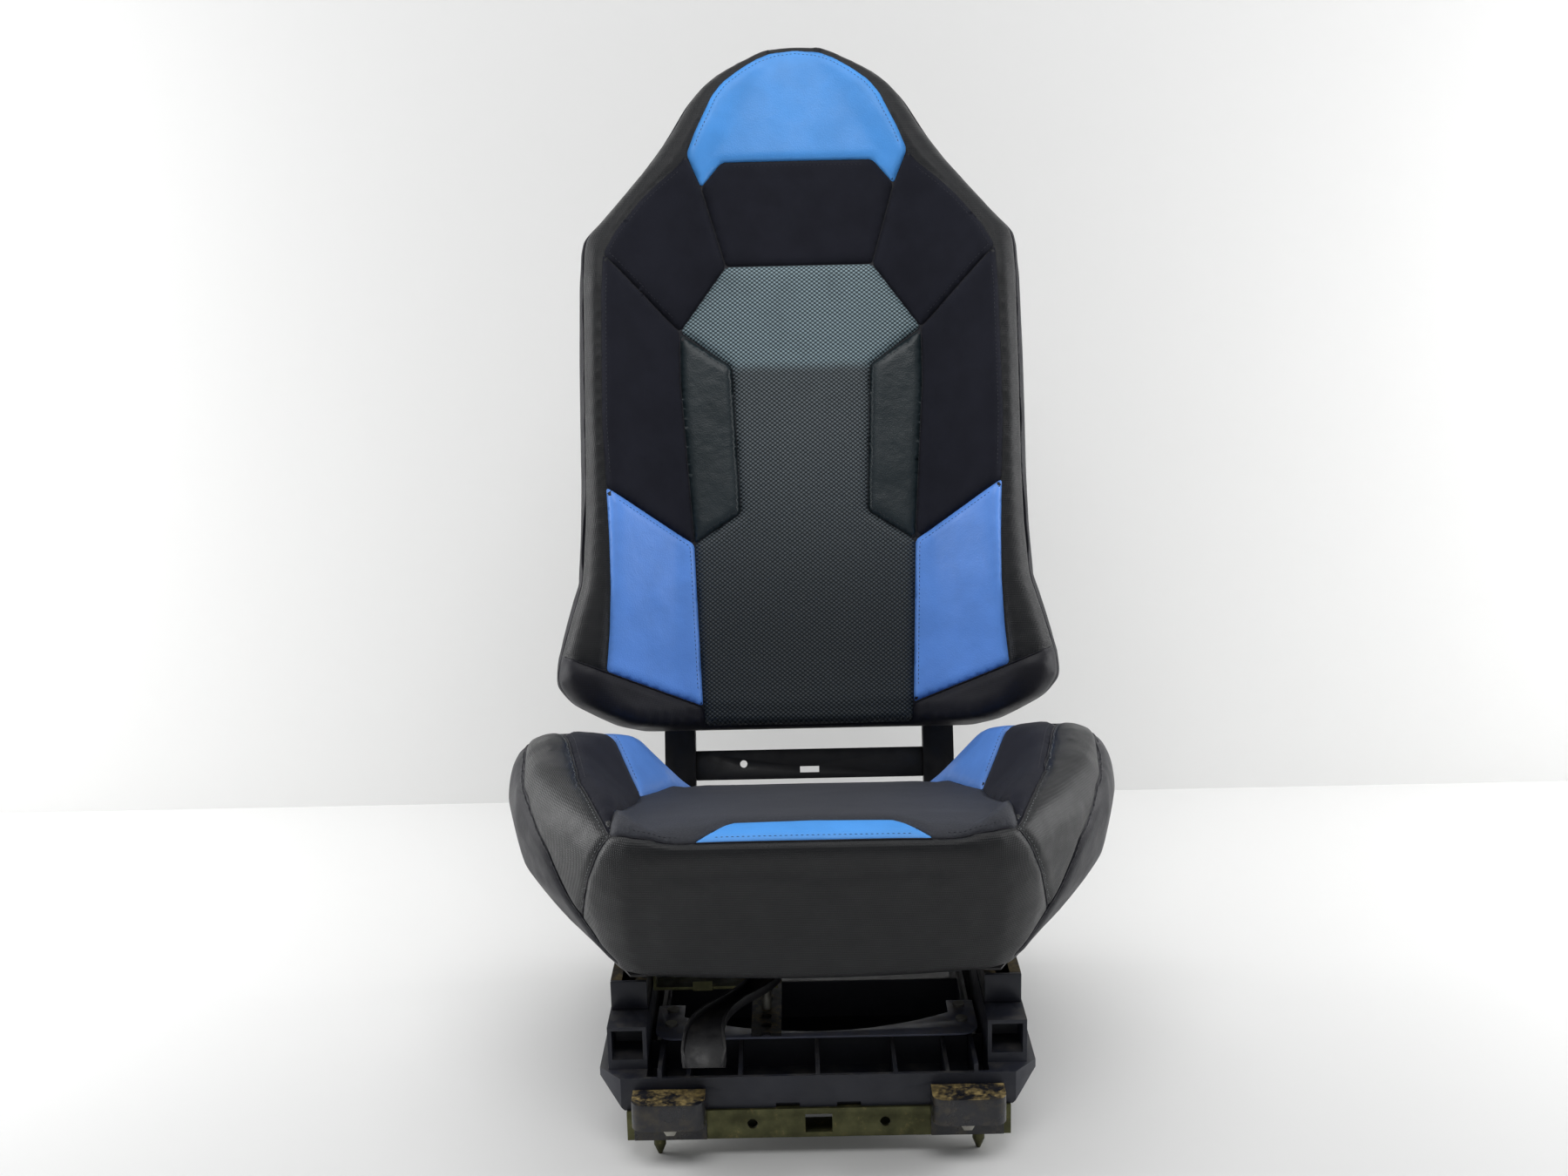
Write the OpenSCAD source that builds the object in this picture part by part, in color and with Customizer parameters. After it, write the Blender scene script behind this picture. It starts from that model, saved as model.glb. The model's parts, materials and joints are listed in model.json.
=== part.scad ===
// High-back bucket seat on a lockable slide base.
// X runs across the seat, Y from front to rear and Z up.
// The origin is the centre between the two front locating pins, on the plane their bar sits on.

/* [Base tray] */
// Width of the front wall
tray_front_w = 380; // [372:2:400]
// Width behind the chamfered corners
tray_w = 424; // [416:2:440]
// Length, front to rear
tray_len = 440; // [430:5:465]
// Distance of the front wall ahead of the pins
tray_ahead = 10; // [10:1:12]
// Moulded wall
tray_wall = 4; // [3:0.5:5]
// Height of the front wall and its ribs
tray_wall_h = 33; // [28:1:38]
// Height of the rail towers over the tray's underside
tower_h = 77; // [74:1:84]
// Width of a rail tower
tower_w = 38; // [37:1:42]
// Side of the square pocket in a tower's front
pocket = 30; // [24:1:30]
// Distance of the towers behind the front wall
tower_back = 20; // [15:1:25]
// Depth of the pocketed front band, up to the cross rib
band_d = 77; // [71:2:81]

/* [Cross bars, pins and hooks] */
// Height of the two cross bars under the tray
bar_h = 30; // [28:1:36]
// Length of the cross bars
bar_len = 370; // [356:2:374]
// Depth of the cross bars
bar_d = 33; // [31:1:38]
// Sheet of the bars, hooks and brackets
sheet = 3; // [2.5:0.5:3.5]
// Distance between the two locating pins
pin_pitch = 310; // [290:2:316]
// Radius of a locating pin
pin_r = 6; // [5:0.5:7]
// Length of a locating pin below its bar
pin_len = 21; // [18:1:28]
// Width of a front hook
hook_w = 70; // [62:1:78]
// Distance of a front hook's middle from its bar's end
hook_in = 42; // [39:1:46]
// Reach of a front hook ahead of its bar
hook_reach = 32; // [28:1:40]
// Height of a front hook's underside over the pin plane
hook_z = 26; // [24:1:28]
// Height of a front hook's lip
hook_h = 27; // [25:1:32]

/* [Slide] */
// Distance of each rail from the middle
rail_x = 184; // [183:0.5:186]
// Width of a lower rail
rail_w = 36; // [35:0.5:37]
// Height of a lower rail
rail_h = 30; // [28:1:34]
// Wall of a lower rail
rail_t = 2.5; // [2:0.5:3]
// Slot between a lower rail's lips
rail_slot = 14; // [12:1:15]
// Length of an upper rail
slider_len = 280; // [270:5:290]
// Start of the upper rails behind the pins, mid travel
slider_y = 122; // [119:1:125]
// Running clearance of the glide pads
glide_gap = 0.06; // [0.03:0.01:0.09]
// Travel of the seat each way
travel = 60; // [60:10:60]
// Distance from one lock hole to the next
lock_pitch = 20; // [20:10:20]
// Radius of the lock plunger
plunger_r = 5; // [4:0.5:5.5]

/* [Seat frame and cushion] */
// Height of the cushion frame's tubes
tube_h = 25; // [24:1:30]
// Width of the two side tubes, over the rails
side_tube_w = 40; // [39:0.5:42]
// Tube wall
tube_t = 2; // [1.5:0.5:2]
// Start of the cushion frame behind the pins
frame_y = 30; // [26:1:36]
// Cushion pan sheet
pan_t = 2; // [1.5:0.5:3]
// Greatest width of the cushion
cushion_w = 632; // [600:4:650]
// Cushion length, from the front seam to the rear
cushion_len = 422; // [412:2:426]
// Distance of the front seam ahead of the pins
cushion_ahead = 90; // [80:2:100]
// Height of the front seam over the pan
cushion_front_h = 152; // [140:2:165]
// Height of the seat's rear edge over the pan
cushion_rear_h = 61; // [50:1:66]
// Height of the bolsters over the pan
bolster_h = 181; // [165:1:186]
// Thickness of the sewn covers
cover_t = 3; // [2:0.5:4]

/* [Back] */
// Lean of the back from upright, in degrees
back_tilt = 18; // [16:0.5:20]
// Height of the back's lower edge over the pan
back_low_h = 122; // [119:1:130]
// Distance of the back's lower edge behind the pins
back_y = 350; // [346:1:356]
// Length of the back
back_len = 790; // [770:2:806]
// Width at the hips, where the back is widest
hip_w = 566; // [550:2:580]
// Width at the chest
chest_w = 502; // [490:2:516]
// Width where the head part starts to round off
head_w = 300; // [284:4:320]
// Thickness of the pad behind its middle surface
pad_d = 50; // [44:1:58]
// How far the side wings stand proud of the middle
wing_h = 58; // [46:1:64]
// Width of an upright
upright_w = 35; // [30:1:38]
// Depth of an upright
upright_d = 20; // [18:1:24]
// Distance of the uprights' centres from the middle
upright_x = 148.5; // [144:0.5:150]
// Height of the cross plate
cross_h = 34; // [28:1:38]
// Depth of the rear shell behind the pad
shell_d = 34; // [33:1:40]
// Wall of the rear shell
shell_t = 3; // [2:0.5:4]

/* [Lever] */
// Distance of the lever's pivot behind the pins
pivot_y = 150; // [146:1:152]
// Distance of the lever's rear end from the middle, to the left
lever_x = 50; // [46:1:54]
// Distance of the paddle from the middle, to the left
paddle_x = 107; // [100:1:116]
// Width of the paddle
paddle_w = 43; // [36:1:46]
// Sheet of the lever
lever_t = 2.5; // [2:0.5:3]
// Radius of the pivot pins
pivot_r = 4; // [3.5:0.25:4.5]

/* [Hidden] */
$fn = 48;

// Clearances and fasteners
eps = 0.01;
soft_gap = 0.3;
crown_h = 4;
fit_gap = 0.05;
bolt_gap = 0.25;
bolt_r = 4;
bolt_head_h = 5.5;
bolt_head_r = 7.5;
screw_r = 3;
screw_head_r = 6;
screw_head_h = 2.5;
plate_screw_len = 16;

// Heights, from the bars up
tray_z = bar_h;
floor_z = tray_z + tray_wall;
wall_z = tray_z + tray_wall_h;
tower_z = tray_z + tower_h;
rail_z = tower_z + rail_h;
flange_t = 3;
web_clear = 10;
frame_z = rail_z + web_clear + flange_t;
pan_z = frame_z + tube_h;
cushion_z = pan_z + pan_t + soft_gap;
web_z = wall_z + 9;
plate_t = 2;
rack_z = web_z + plate_t;
rack_t = 3;
rack_half = 15;

// Tray
tray_y0 = -tray_ahead;
tray_y1 = tray_y0 + tray_len;
corner_d = 25;
corner_cut = 25;
tower_y = tray_y0 + tower_back;
tower_x0 = rail_x - tower_w / 2;
pocket_z = tower_z - tray_wall - pocket;
pocket_d = 40;
web_x = tower_x0 - 15;
band_y = tray_y0 + band_d;
rack_rib_y = 176;
rib_xs = [0, web_x / 2, web_x * 5 / 6];
notch_xs = [-41, 18];
notch_w = 23;
boss_in = 4;
boss_out_r = 7;

// Bars
front_bar_y0 = tray_y0 - sheet;
rear_bar_y1 = tray_y1 + sheet;
rear_bar_y = rear_bar_y1 - bar_d / 2;
bar_bolt_xs = [-100, 100];
bar_bolt_off = front_bar_y0 + 20;
hook_x = bar_len / 2 - hook_in;
nut_h = 6.5;
spigot_r = pin_r - 1.5;
spigot_head_r = pin_r + 1.5;
spigot_head_h = 4;
pin_straight = 11;
pin_tip_r = 2;
buffer_r = 12;
window_w = 26;
bar_hole_x = 64;
bar_hole_r = 5;

// Slide
rail_y0 = tower_y + 42;
cap_t = 4;
rail_y1 = tray_y1 - tray_wall;
foot_w = 26;
foot_t = 3;
foot_z = tower_z + rail_h / 2 - foot_t / 2;
web_t = 5;
pad_len = 24;
rail_bolt_ys = [rail_y0 + 11, (rail_y0 + rail_y1) / 2, rail_y1 - 9];
low_head_h = 3;
low_head_r = 5.5;
pad_in = low_head_r + soft_gap;

// Seat frame
side_x0 = rail_x - side_tube_w / 2;
side_cut_w = 24;
side_cut_d = 50;
back_pan_t = 2;
upright_n = -(pad_d + soft_gap + back_pan_t + upright_d / 2);
back_z = cushion_z + back_low_h;
bend_z = frame_z + 65;
upright_y = back_y - upright_n * cos(back_tilt)
  + (bend_z - back_z - upright_n * sin(back_tilt)) * tan(back_tilt);
rear_tube_y1 = upright_y - upright_d / 2;
rear_tube_y0 = rear_tube_y1 - tube_h;
middle_tube_y0 = pivot_y - 10;
frame_bolt_ys = [slider_y + 38, slider_y + slider_len - 60];
frame_bolt_x = 10;

// Lock
plunger_y = pivot_y - 40;
plunger_gap = 0.3;
holes_each_way = floor(travel / lock_pitch);
guide_z0 = tower_z - 3;
guide_h = 8;
cross_pin_r = 2.5;
strap_half = 12;
strap_y0 = plunger_y - strap_half;
strap_y1 = plunger_y + strap_half;
tab_in = 40;
tab_w = 20;
tab_h = 10;

// Lever
pivot_z = frame_z - 19;
lever_z = pivot_z - 13;
hub_r = 6.5;
lever_half = 16;
ear_gap = 3;

// Latch
latch_y = rear_bar_y1 + 30;
latch_z = 16;
claw_w = 24;
latch_ear_x = 22;

function smooth(x) = x <= 0 ? 0 : x >= 1 ? 1 : x * x * (3 - 2 * x);
function mirrored(pts) = concat(pts, [for (i = [len(pts) - 1 : -1 : 0]) [-pts[i][0], pts[i][1]]]);

// ---------------------------------------------------------------- shared shapes

module box(x0, x1, y0, y1, z0, z1) {
  translate([x0, y0, z0]) cube([x1 - x0, y1 - y0, z1 - z0]);
}

module both_sides() {
  children();
  mirror([1, 0, 0]) children();
}

module tube_x(x0, x1, y0, y1, z0, z1, wall) {
  difference() {
    box(x0, x1, y0, y1, z0, z1);
    box(x0 - eps, x1 + eps, y0 + wall, y1 - wall, z0 + wall, z1 - wall);
  }
}

// A bolt along +Z with its head's underside at the origin and its shank above
module bolt(shank, head_h = bolt_head_h, head_r = bolt_head_r, r = bolt_r, sides = 6) {
  translate([0, 0, -head_h]) cylinder(r = head_r, h = head_h, $fn = sides);
  translate([0, 0, -eps]) cylinder(r = r, h = shank + eps);
}

module nut(r = bolt_r) {
  difference() {
    cylinder(r = bolt_head_r, h = nut_h, $fn = 6);
    translate([0, 0, -1]) cylinder(r = r + fit_gap, h = nut_h + 2);
  }
}

module rounded_block(w, d, h, r) {
  translate([-w / 2, r, 0]) cube([w, d - r, h]);
  translate([-w / 2 + r, 0, 0]) cube([w - 2 * r, d, h]);
  for (s = [-1, 1]) translate([s * (w / 2 - r), r, 0]) cylinder(r = r, h = h);
}

// Channel along X with its web at y = 0 and its flanges towards +Y
module channel_bar(depth) {
  difference() {
    translate([-bar_len / 2, 0, 0]) cube([bar_len, depth, bar_h]);
    translate([-bar_len / 2 - eps, sheet, sheet]) {
      cube([bar_len + 2 * eps, depth, bar_h - 2 * sheet]);
    }
    translate([-window_w / 2, -1, 5]) cube([window_w, sheet + 2, bar_h - 11]);
    for (s = [-1, 1]) translate([s * bar_hole_x, -1, bar_h / 2]) {
      rotate([-90, 0, 0]) cylinder(r = bar_hole_r, h = sheet + 2);
    }
  }
}

// A helix of round wire about Z, from its first turn's centre height 0
function helix_ring(mean_r, wire_r, a, z, sides) = [for (k = [0 : sides - 1])
  let (b = 360 * k / sides, r = mean_r + wire_r * cos(b)) [r * cos(a), r * sin(a), z + wire_r * sin(b)]];

module helix(mean_r, wire_r, turns, pitch) {
  sides = 6;
  steps = turns * 12;
  points = [for (i = [0 : steps]) each helix_ring(mean_r, wire_r, 30 * i, pitch * i / 12, sides)];
  walls = [for (i = [0 : steps - 1], k = [0 : sides - 1])
    let (a = i * sides + k, b = i * sides + (k + 1) % sides)
    each [[a, a + sides, b], [b, a + sides, b + sides]]];
  first = [for (k = [1 : sides - 2]) [0, k, k + 1]];
  last = [for (k = [1 : sides - 2]) let (o = steps * sides) [o, o + k + 1, o + k]];
  polyhedron(points = points, faces = concat(walls, first, last), convexity = 6);
}

// ---------------------------------------------------------------- base

module tray_outline() {
  polygon([[-tray_front_w / 2, tray_y0], [tray_front_w / 2, tray_y0], [tray_w / 2, tray_y0 + corner_d],
    [tray_w / 2, tray_y1], [-tray_w / 2, tray_y1], [-tray_w / 2, tray_y0 + corner_d]]);
}

// The tray seen from the front, with its lower corners cut back
module tray_front_view() {
  low = tray_w / 2 - corner_cut;
  polygon([[-low, tray_z], [low, tray_z], [tray_w / 2, tray_z + corner_cut], [tray_w / 2, tower_z],
    [-tray_w / 2, tower_z], [-tray_w / 2, tray_z + corner_cut]]);
}

module base_tray() color("#2b2c33") {
  difference() {
    intersection() {
      linear_extrude(tower_z) tray_outline();
      translate([0, tray_y1 + 1, 0]) rotate([90, 0, 0]) linear_extrude(tray_len + 2) tray_front_view();
      union() {
        box(-tray_w / 2, tray_w / 2, tray_y0, tray_y1, tray_z, floor_z);
        box(-tray_w / 2, tray_w / 2, tray_y0, tray_y0 + tray_wall, tray_z, wall_z);
        both_sides() {
          box(tower_x0, tray_w / 2, tray_y0, tray_y1, tray_z, wall_z);
          box(tower_x0, tower_x0 + tower_w, tower_y, tray_y1, tray_z, tower_z);
          box(web_x, web_x + tray_wall, tray_y0, tray_y1, tray_z, web_z);
        }
        both_sides() for (x = rib_xs) {
          box(x - tray_wall / 2, x + tray_wall / 2, tray_y0, band_y, tray_z, wall_z);
        }
        for (y = [band_y, tray_y1 - tray_wall]) {
          box(-tower_x0 - 1, tower_x0 + 1, y, y + tray_wall, tray_z, wall_z);
        }
        box(-web_x, web_x, rack_rib_y, rack_rib_y + tray_wall, tray_z, rack_z);
        both_sides() for (y = [lock_screw_y0, lock_screw_y1]) {
          translate([web_x - boss_in, y, tray_z]) cylinder(r = boss_out_r, h = web_z - tray_z);
        }
      }
    }
    // pockets in the tower fronts, and the towers' hollows behind and below them
    both_sides() {
      box(rail_x - pocket / 2, rail_x + pocket / 2, tower_y - eps, tower_y + pocket_d,
        pocket_z, pocket_z + pocket);
      box(rail_x - pocket / 2, rail_x + pocket / 2, tower_y + pocket_d + tray_wall, tray_y1 - tray_wall,
        wall_z - 6, tower_z - tray_wall);
    }
    // notches under the front wall and the fastener holes
    for (x = notch_xs) box(x, x + notch_w, tray_y0 - 1, tray_y0 + tray_wall + 1, tray_z - 1, floor_z + 1);
    both_sides() for (y = rail_bolt_ys) {
      translate([rail_x, y, tower_z - tray_wall - 1]) cylinder(r = bolt_r + bolt_gap, h = tray_wall + 2);
    }
    both_sides() for (y = [lock_screw_y0, lock_screw_y1]) {
      translate([web_x - boss_in, y, floor_z]) cylinder(r = screw_r + fit_gap, h = web_z);
    }
    for (x = bar_bolt_xs, y = [bar_bolt_off, rear_bar_y]) {
      translate([x, y, tray_z - 1]) cylinder(r = bolt_r + bolt_gap, h = tray_wall + 2);
    }
  }
}

module bar_bolt_holes(y) {
  for (x = bar_bolt_xs) translate([x, y, bar_h - sheet - 1]) cylinder(r = bolt_r + bolt_gap, h = sheet + 2);
}

module pin_holes(y) {
  for (s = [-1, 1]) translate([s * pin_pitch / 2, y, -1]) cylinder(r = spigot_r + fit_gap, h = sheet + 2);
}

module hook_bolt_spots() {
  for (s = [-1, 1]) translate([s * hook_x, 0, bar_h / 2]) children();
}

module front_cross_bar() color("#4d4a2c") {
  difference() {
    translate([0, front_bar_y0, 0]) channel_bar(bar_d);
    bar_bolt_holes(bar_bolt_off);
    pin_holes(0);
    hook_bolt_spots() translate([0, front_bar_y0 - 1, 0]) rotate([-90, 0, 0]) {
      cylinder(r = bolt_r + bolt_gap, h = sheet + 2);
    }
  }
}

module rear_cross_bar() color("#4d4a2c") {
  difference() {
    translate([0, rear_bar_y1, 0]) mirror([0, 1, 0]) channel_bar(bar_d);
    bar_bolt_holes(rear_bar_y);
    pin_holes(rear_bar_y);
    for (s = [-1, 1]) translate([s * latch_bolt_x, rear_bar_y1 - sheet - 1, bar_h / 2]) rotate([-90, 0, 0]) {
      cylinder(r = bolt_r + bolt_gap, h = sheet + 2);
    }
  }
}

module locating_pins() color("#55512f") {
  tip = pin_len - pin_straight;
  for (s = [-1, 1]) translate([s * pin_pitch / 2, 0, 0]) {
    translate([0, 0, -pin_len]) cylinder(r1 = pin_tip_r, r2 = pin_r, h = tip);
    translate([0, 0, tip - pin_len]) cylinder(r = pin_r, h = pin_straight);
    translate([0, 0, -eps]) cylinder(r = spigot_r, h = sheet + 2 * eps);
    translate([0, 0, sheet]) cylinder(r = spigot_head_r, h = spigot_head_h);
  }
}

module rubber_buffers() color("#1c1c1e") {
  for (s = [-1, 1]) translate([s * pin_pitch / 2, rear_bar_y, 0]) {
    translate([0, 0, -pin_len]) cylinder(r = buffer_r, h = pin_len);
    translate([0, 0, -eps]) cylinder(r = spigot_r, h = sheet + 2 * eps);
    translate([0, 0, sheet]) cylinder(r = spigot_head_r, h = spigot_head_h);
  }
}

module bar_bolts() color("#777468") {
  for (x = bar_bolt_xs, y = [bar_bolt_off, rear_bar_y]) {
    translate([x, y, floor_z]) mirror([0, 0, 1]) bolt(tray_wall + sheet + nut_h + 1);
    translate([x, y, bar_h - sheet - nut_h]) nut();
  }
}

// A pressed cup that hooks over the vehicle's bracket: open below, closed on top and at its sides
module front_hook() {
  y0 = front_bar_y0 - hook_reach;
  difference() {
    union() {
      translate([0, y0, hook_z]) rounded_block(hook_w, hook_reach, hook_h, 12);
      box(-hook_w / 2, hook_w / 2, front_bar_y0 - sheet, front_bar_y0, 1, hook_z + eps);
    }
    translate([0, y0 + sheet, hook_z - 1]) {
      rounded_block(hook_w - 2 * sheet, hook_reach - 2 * sheet, hook_h + 1 - sheet, 9);
    }
    translate([0, front_bar_y0 - sheet - 1, bar_h / 2]) rotate([-90, 0, 0]) {
      cylinder(r = bolt_r + bolt_gap, h = sheet + 2);
    }
  }
}

module front_hook_left() color("#33343c") translate([-hook_x, 0, 0]) front_hook();

module front_hook_right() color("#33343c") translate([hook_x, 0, 0]) front_hook();

module hook_bolts() color("#777468") {
  hook_bolt_spots() translate([0, front_bar_y0 - sheet, 0]) rotate([-90, 0, 0]) {
    bolt(2 * sheet + nut_h + 1);
    translate([0, 0, 2 * sheet]) nut();
  }
}

// Sheet between the towers with a wide arch cut out of its rear edge
lock_plate_d = 75;
lock_plate_lap = 17;
lock_plate_y0 = band_y - lock_plate_lap;
lock_plate_y1 = lock_plate_y0 + lock_plate_d;
lock_plate_gap = 4;
lock_plate_r = 20;
lock_screw_in = 12;
lock_screw_y0 = band_y + lock_screw_in + 2;
lock_screw_y1 = lock_plate_y1 - lock_screw_in;
arch_r = 260;
arch_strip = 11;
arch_side = 16;

module lock_plate() color("#3c3d46") {
  half = tower_x0 - lock_plate_gap;
  translate([0, 0, web_z]) difference() {
    translate([0, lock_plate_y0, 0]) rounded_block(2 * half, lock_plate_d, plate_t, lock_plate_r);
    translate([0, lock_plate_y0 + arch_strip + arch_r, -1]) intersection() {
      cylinder(r = arch_r, h = plate_t + 2, $fn = 180);
      translate([arch_side - web_x, -arch_r, 0]) cube([2 * (web_x - arch_side), arch_r, plate_t + 2]);
    }
    both_sides() for (y = [lock_screw_y0, lock_screw_y1]) {
      translate([web_x - boss_in, y, -1]) cylinder(r = screw_r + bolt_gap, h = plate_t + 2);
    }
  }
}

module lock_plate_screws() color("#777468") {
  both_sides() for (y = [lock_screw_y0, lock_screw_y1]) {
    translate([web_x - boss_in, y, rack_z]) mirror([0, 0, 1]) {
      bolt(plate_t + plate_screw_len, head_h = screw_head_h, head_r = screw_head_r, r = screw_r, sides = 24);
    }
  }
}

module lock_rack() color("#3a3b40") {
  difference() {
    box(-lever_x - rack_half, -lever_x + rack_half, lock_plate_y0 + 2, rack_rib_y + tray_wall,
      rack_z, rack_z + rack_t);
    for (i = [-holes_each_way : holes_each_way]) {
      translate([-lever_x, plunger_y + i * lock_pitch, rack_z - 1]) {
        cylinder(r = plunger_r + plunger_gap, h = rack_t + 2);
      }
    }
  }
}

module lower_rail() {
  translate([0, rail_y0, tower_z]) difference() {
    translate([-rail_w / 2, 0, 0]) cube([rail_w, rail_y1 - rail_y0, rail_h]);
    translate([-rail_w / 2 + rail_t, -eps, rail_t]) {
      cube([rail_w - 2 * rail_t, rail_y1 - rail_y0 + 2 * eps, rail_h - 2 * rail_t]);
    }
    translate([-rail_slot / 2, -eps, rail_h - rail_t - 1]) {
      cube([rail_slot, rail_y1 - rail_y0 + 2 * eps, rail_t + 2]);
    }
    for (y = rail_bolt_ys) translate([0, y - rail_y0, -1]) cylinder(r = bolt_r + bolt_gap, h = rail_t + 2);
  }
}

module lower_rail_left() color("#3a3b40") translate([-rail_x, 0, 0]) lower_rail();

module lower_rail_right() color("#3a3b40") translate([rail_x, 0, 0]) lower_rail();

module rail_end_caps() color("#33343b") {
  for (s = [-1, 1]) translate([s * rail_x, 0, 0]) {
    box(-rail_w / 2, rail_w / 2, rail_y0 - cap_t, rail_y0, tower_z, rail_z);
    box(-rail_w / 2 + rail_t + fit_gap, rail_w / 2 - rail_t - fit_gap, rail_y0 - eps, rail_y0 + 3,
      tower_z + rail_t + fit_gap, tower_z + 9);
  }
}

module rail_bolts() color("#777468") {
  for (s = [-1, 1], y = rail_bolt_ys) translate([s * rail_x, y, 0]) {
    translate([0, 0, tower_z + rail_t]) mirror([0, 0, 1]) {
      bolt(rail_t + tray_wall + nut_h + 1, head_h = low_head_h, head_r = low_head_r, sides = 24);
    }
    translate([0, 0, tower_z - tray_wall - nut_h]) nut();
  }
}

// ---------------------------------------------------------------- rear latch

latch_bolt_x = 34;

module latch_bracket() color("#3a3b40") {
  difference() {
    union() {
      box(-44, 44, rear_bar_y1, rear_bar_y1 + sheet, 2, bar_h - 2);
      both_sides() {
        box(latch_ear_x, latch_ear_x + sheet, rear_bar_y1 + sheet - eps, latch_y, latch_z - 9, latch_z + 9);
        translate([latch_ear_x, latch_y, latch_z]) rotate([0, 90, 0]) cylinder(r = 9, h = sheet);
      }
    }
    translate([-60, latch_y, latch_z]) rotate([0, 90, 0]) cylinder(r = pivot_r + fit_gap, h = 120);
    for (s = [-1, 1]) translate([s * latch_bolt_x, rear_bar_y1 - 1, bar_h / 2]) rotate([-90, 0, 0]) {
      cylinder(r = bolt_r + bolt_gap, h = sheet + 2);
    }
  }
}

module latch_bolts() color("#777468") {
  for (s = [-1, 1]) translate([s * latch_bolt_x, rear_bar_y1 + sheet, bar_h / 2]) rotate([90, 0, 0]) {
    bolt(2 * sheet + nut_h + 1);
    translate([0, 0, 2 * sheet]) nut();
  }
}

module latch_pin() color("#8b8b86") translate([0, latch_y, latch_z]) rotate([0, 90, 0]) {
  translate([0, 0, -latch_ear_x - sheet]) cylinder(r = pivot_r, h = 2 * (latch_ear_x + sheet));
  for (s = [-1, 1]) translate([0, 0, s * (latch_ear_x + sheet + 1)]) {
    cylinder(r = pivot_r + 2.5, h = 2, center = true);
  }
}

module latch_spring() color("#8b8b86") {
  translate([claw_w / 2 + 1.2, latch_y, latch_z]) rotate([0, 90, 0]) helix(pivot_r + 1.5, 0.8, 4, 1.9);
}

// Seen from the side: hub, hook below it and release tab above
module latch_claw() color("#45464c") {
  difference() {
    translate([-claw_w / 2, latch_y, latch_z]) rotate([90, 0, 90]) linear_extrude(claw_w) union() {
      circle(r = 9);
      polygon([[-9, 0], [9, 0], [8, -16], [2, -30], [-18, -30], [-18, -24], [-3, -24], [-5, -12]]);
      polygon([[-4, 6], [6, 2], [38, 20], [36, 26], [26, 24]]);
    }
    translate([-60, latch_y, latch_z]) rotate([0, 90, 0]) cylinder(r = pivot_r + fit_gap, h = 120);
  }
}

// ---------------------------------------------------------------- slide and seat frame

module upper_rail() {
  translate([0, slider_y, 0]) difference() {
    union() {
      translate([-foot_w / 2, 0, foot_z]) cube([foot_w, slider_len, foot_t]);
      translate([-web_t / 2, 0, foot_z]) cube([web_t, slider_len, frame_z - foot_z]);
      translate([-rail_w / 2 + 1, 0, frame_z - flange_t]) cube([rail_w - 2, slider_len, flange_t]);
    }
    for (y = frame_bolt_ys) translate([frame_bolt_x, y - slider_y, frame_z - flange_t - 1]) {
      cylinder(r = screw_r + bolt_gap, h = flange_t + 2);
    }
  }
}

module upper_rail_left() color("#3a3b40") translate([-rail_x, 0, 0]) mirror([1, 0, 0]) upper_rail();

module upper_rail_right() color("#3a3b40") translate([rail_x, 0, 0]) upper_rail();

module glide_pads() color("#d8d5c8") {
  outer = rail_w / 2 - rail_t - glide_gap;
  first = slider_y + pad_len / 2;
  last = slider_y + slider_len - 1.5 * pad_len;
  for (s = [-1, 1], y = [first, last]) translate([s * rail_x, y, 0]) both_sides() {
    box(pad_in, outer, 0, pad_len, tower_z + rail_t + glide_gap, foot_z);
    box(pad_in, outer, 0, pad_len, foot_z + foot_t, rail_z - rail_t - glide_gap);
  }
}

module frame_side() {
  difference() {
    box(-side_tube_w / 2, side_tube_w / 2, frame_y, rear_tube_y0, frame_z, pan_z);
    box(-side_tube_w / 2 + tube_t, side_tube_w / 2 - tube_t, frame_y - 1, rear_tube_y0 + 1,
      frame_z + tube_t, pan_z - tube_t);
    for (y = frame_bolt_ys) translate([frame_bolt_x, y, frame_z - 1]) {
      cylinder(r = screw_r + bolt_gap, h = tube_t + 2);
    }
    // outer front corner cut back, seen from above
    translate([side_tube_w / 2, frame_y, frame_z - 1]) linear_extrude(tube_h + 2) {
      polygon([[-side_cut_w, -1], [1, -1], [1, side_cut_d], [0, side_cut_d], [-side_cut_w, 0]]);
    }
  }
}

module frame_side_left() color("#1f2024") translate([-rail_x, 0, 0]) mirror([1, 0, 0]) frame_side();

module frame_side_right() color("#1f2024") translate([rail_x, 0, 0]) frame_side();

module frame_front_tube() color("#1f2024") {
  tube_x(-side_x0, side_x0, frame_y, frame_y + tube_h, frame_z, pan_z, tube_t);
}

module frame_middle_tube() color("#1f2024") {
  tube_x(-side_x0, side_x0, middle_tube_y0, middle_tube_y0 + tube_h, frame_z, pan_z, tube_t);
}

module frame_rear_tube() color("#1f2024") {
  half = rail_x + side_tube_w / 2;
  difference() {
    tube_x(-half, half, rear_tube_y0, rear_tube_y1, frame_z, pan_z, tube_t);
    both_sides() translate([upright_x, rear_tube_y0 + tube_h / 2, frame_z + tube_h / 2]) rotate([-90, 0, 0]) {
      cylinder(r = bolt_r + bolt_gap, h = tube_h);
    }
  }
}

module frame_bolts() color("#777468") {
  for (s = [-1, 1], y = frame_bolt_ys) translate([s * (rail_x + frame_bolt_x), y, frame_z]) {
    translate([0, 0, -flange_t]) bolt(flange_t + tube_t + 5, head_h = 4, head_r = 5.5, r = screw_r);
    translate([0, 0, tube_t]) difference() {
      cylinder(r = 5.5, h = 4.5, $fn = 6);
      translate([0, 0, -1]) cylinder(r = screw_r + fit_gap, h = 7);
    }
  }
}

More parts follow.
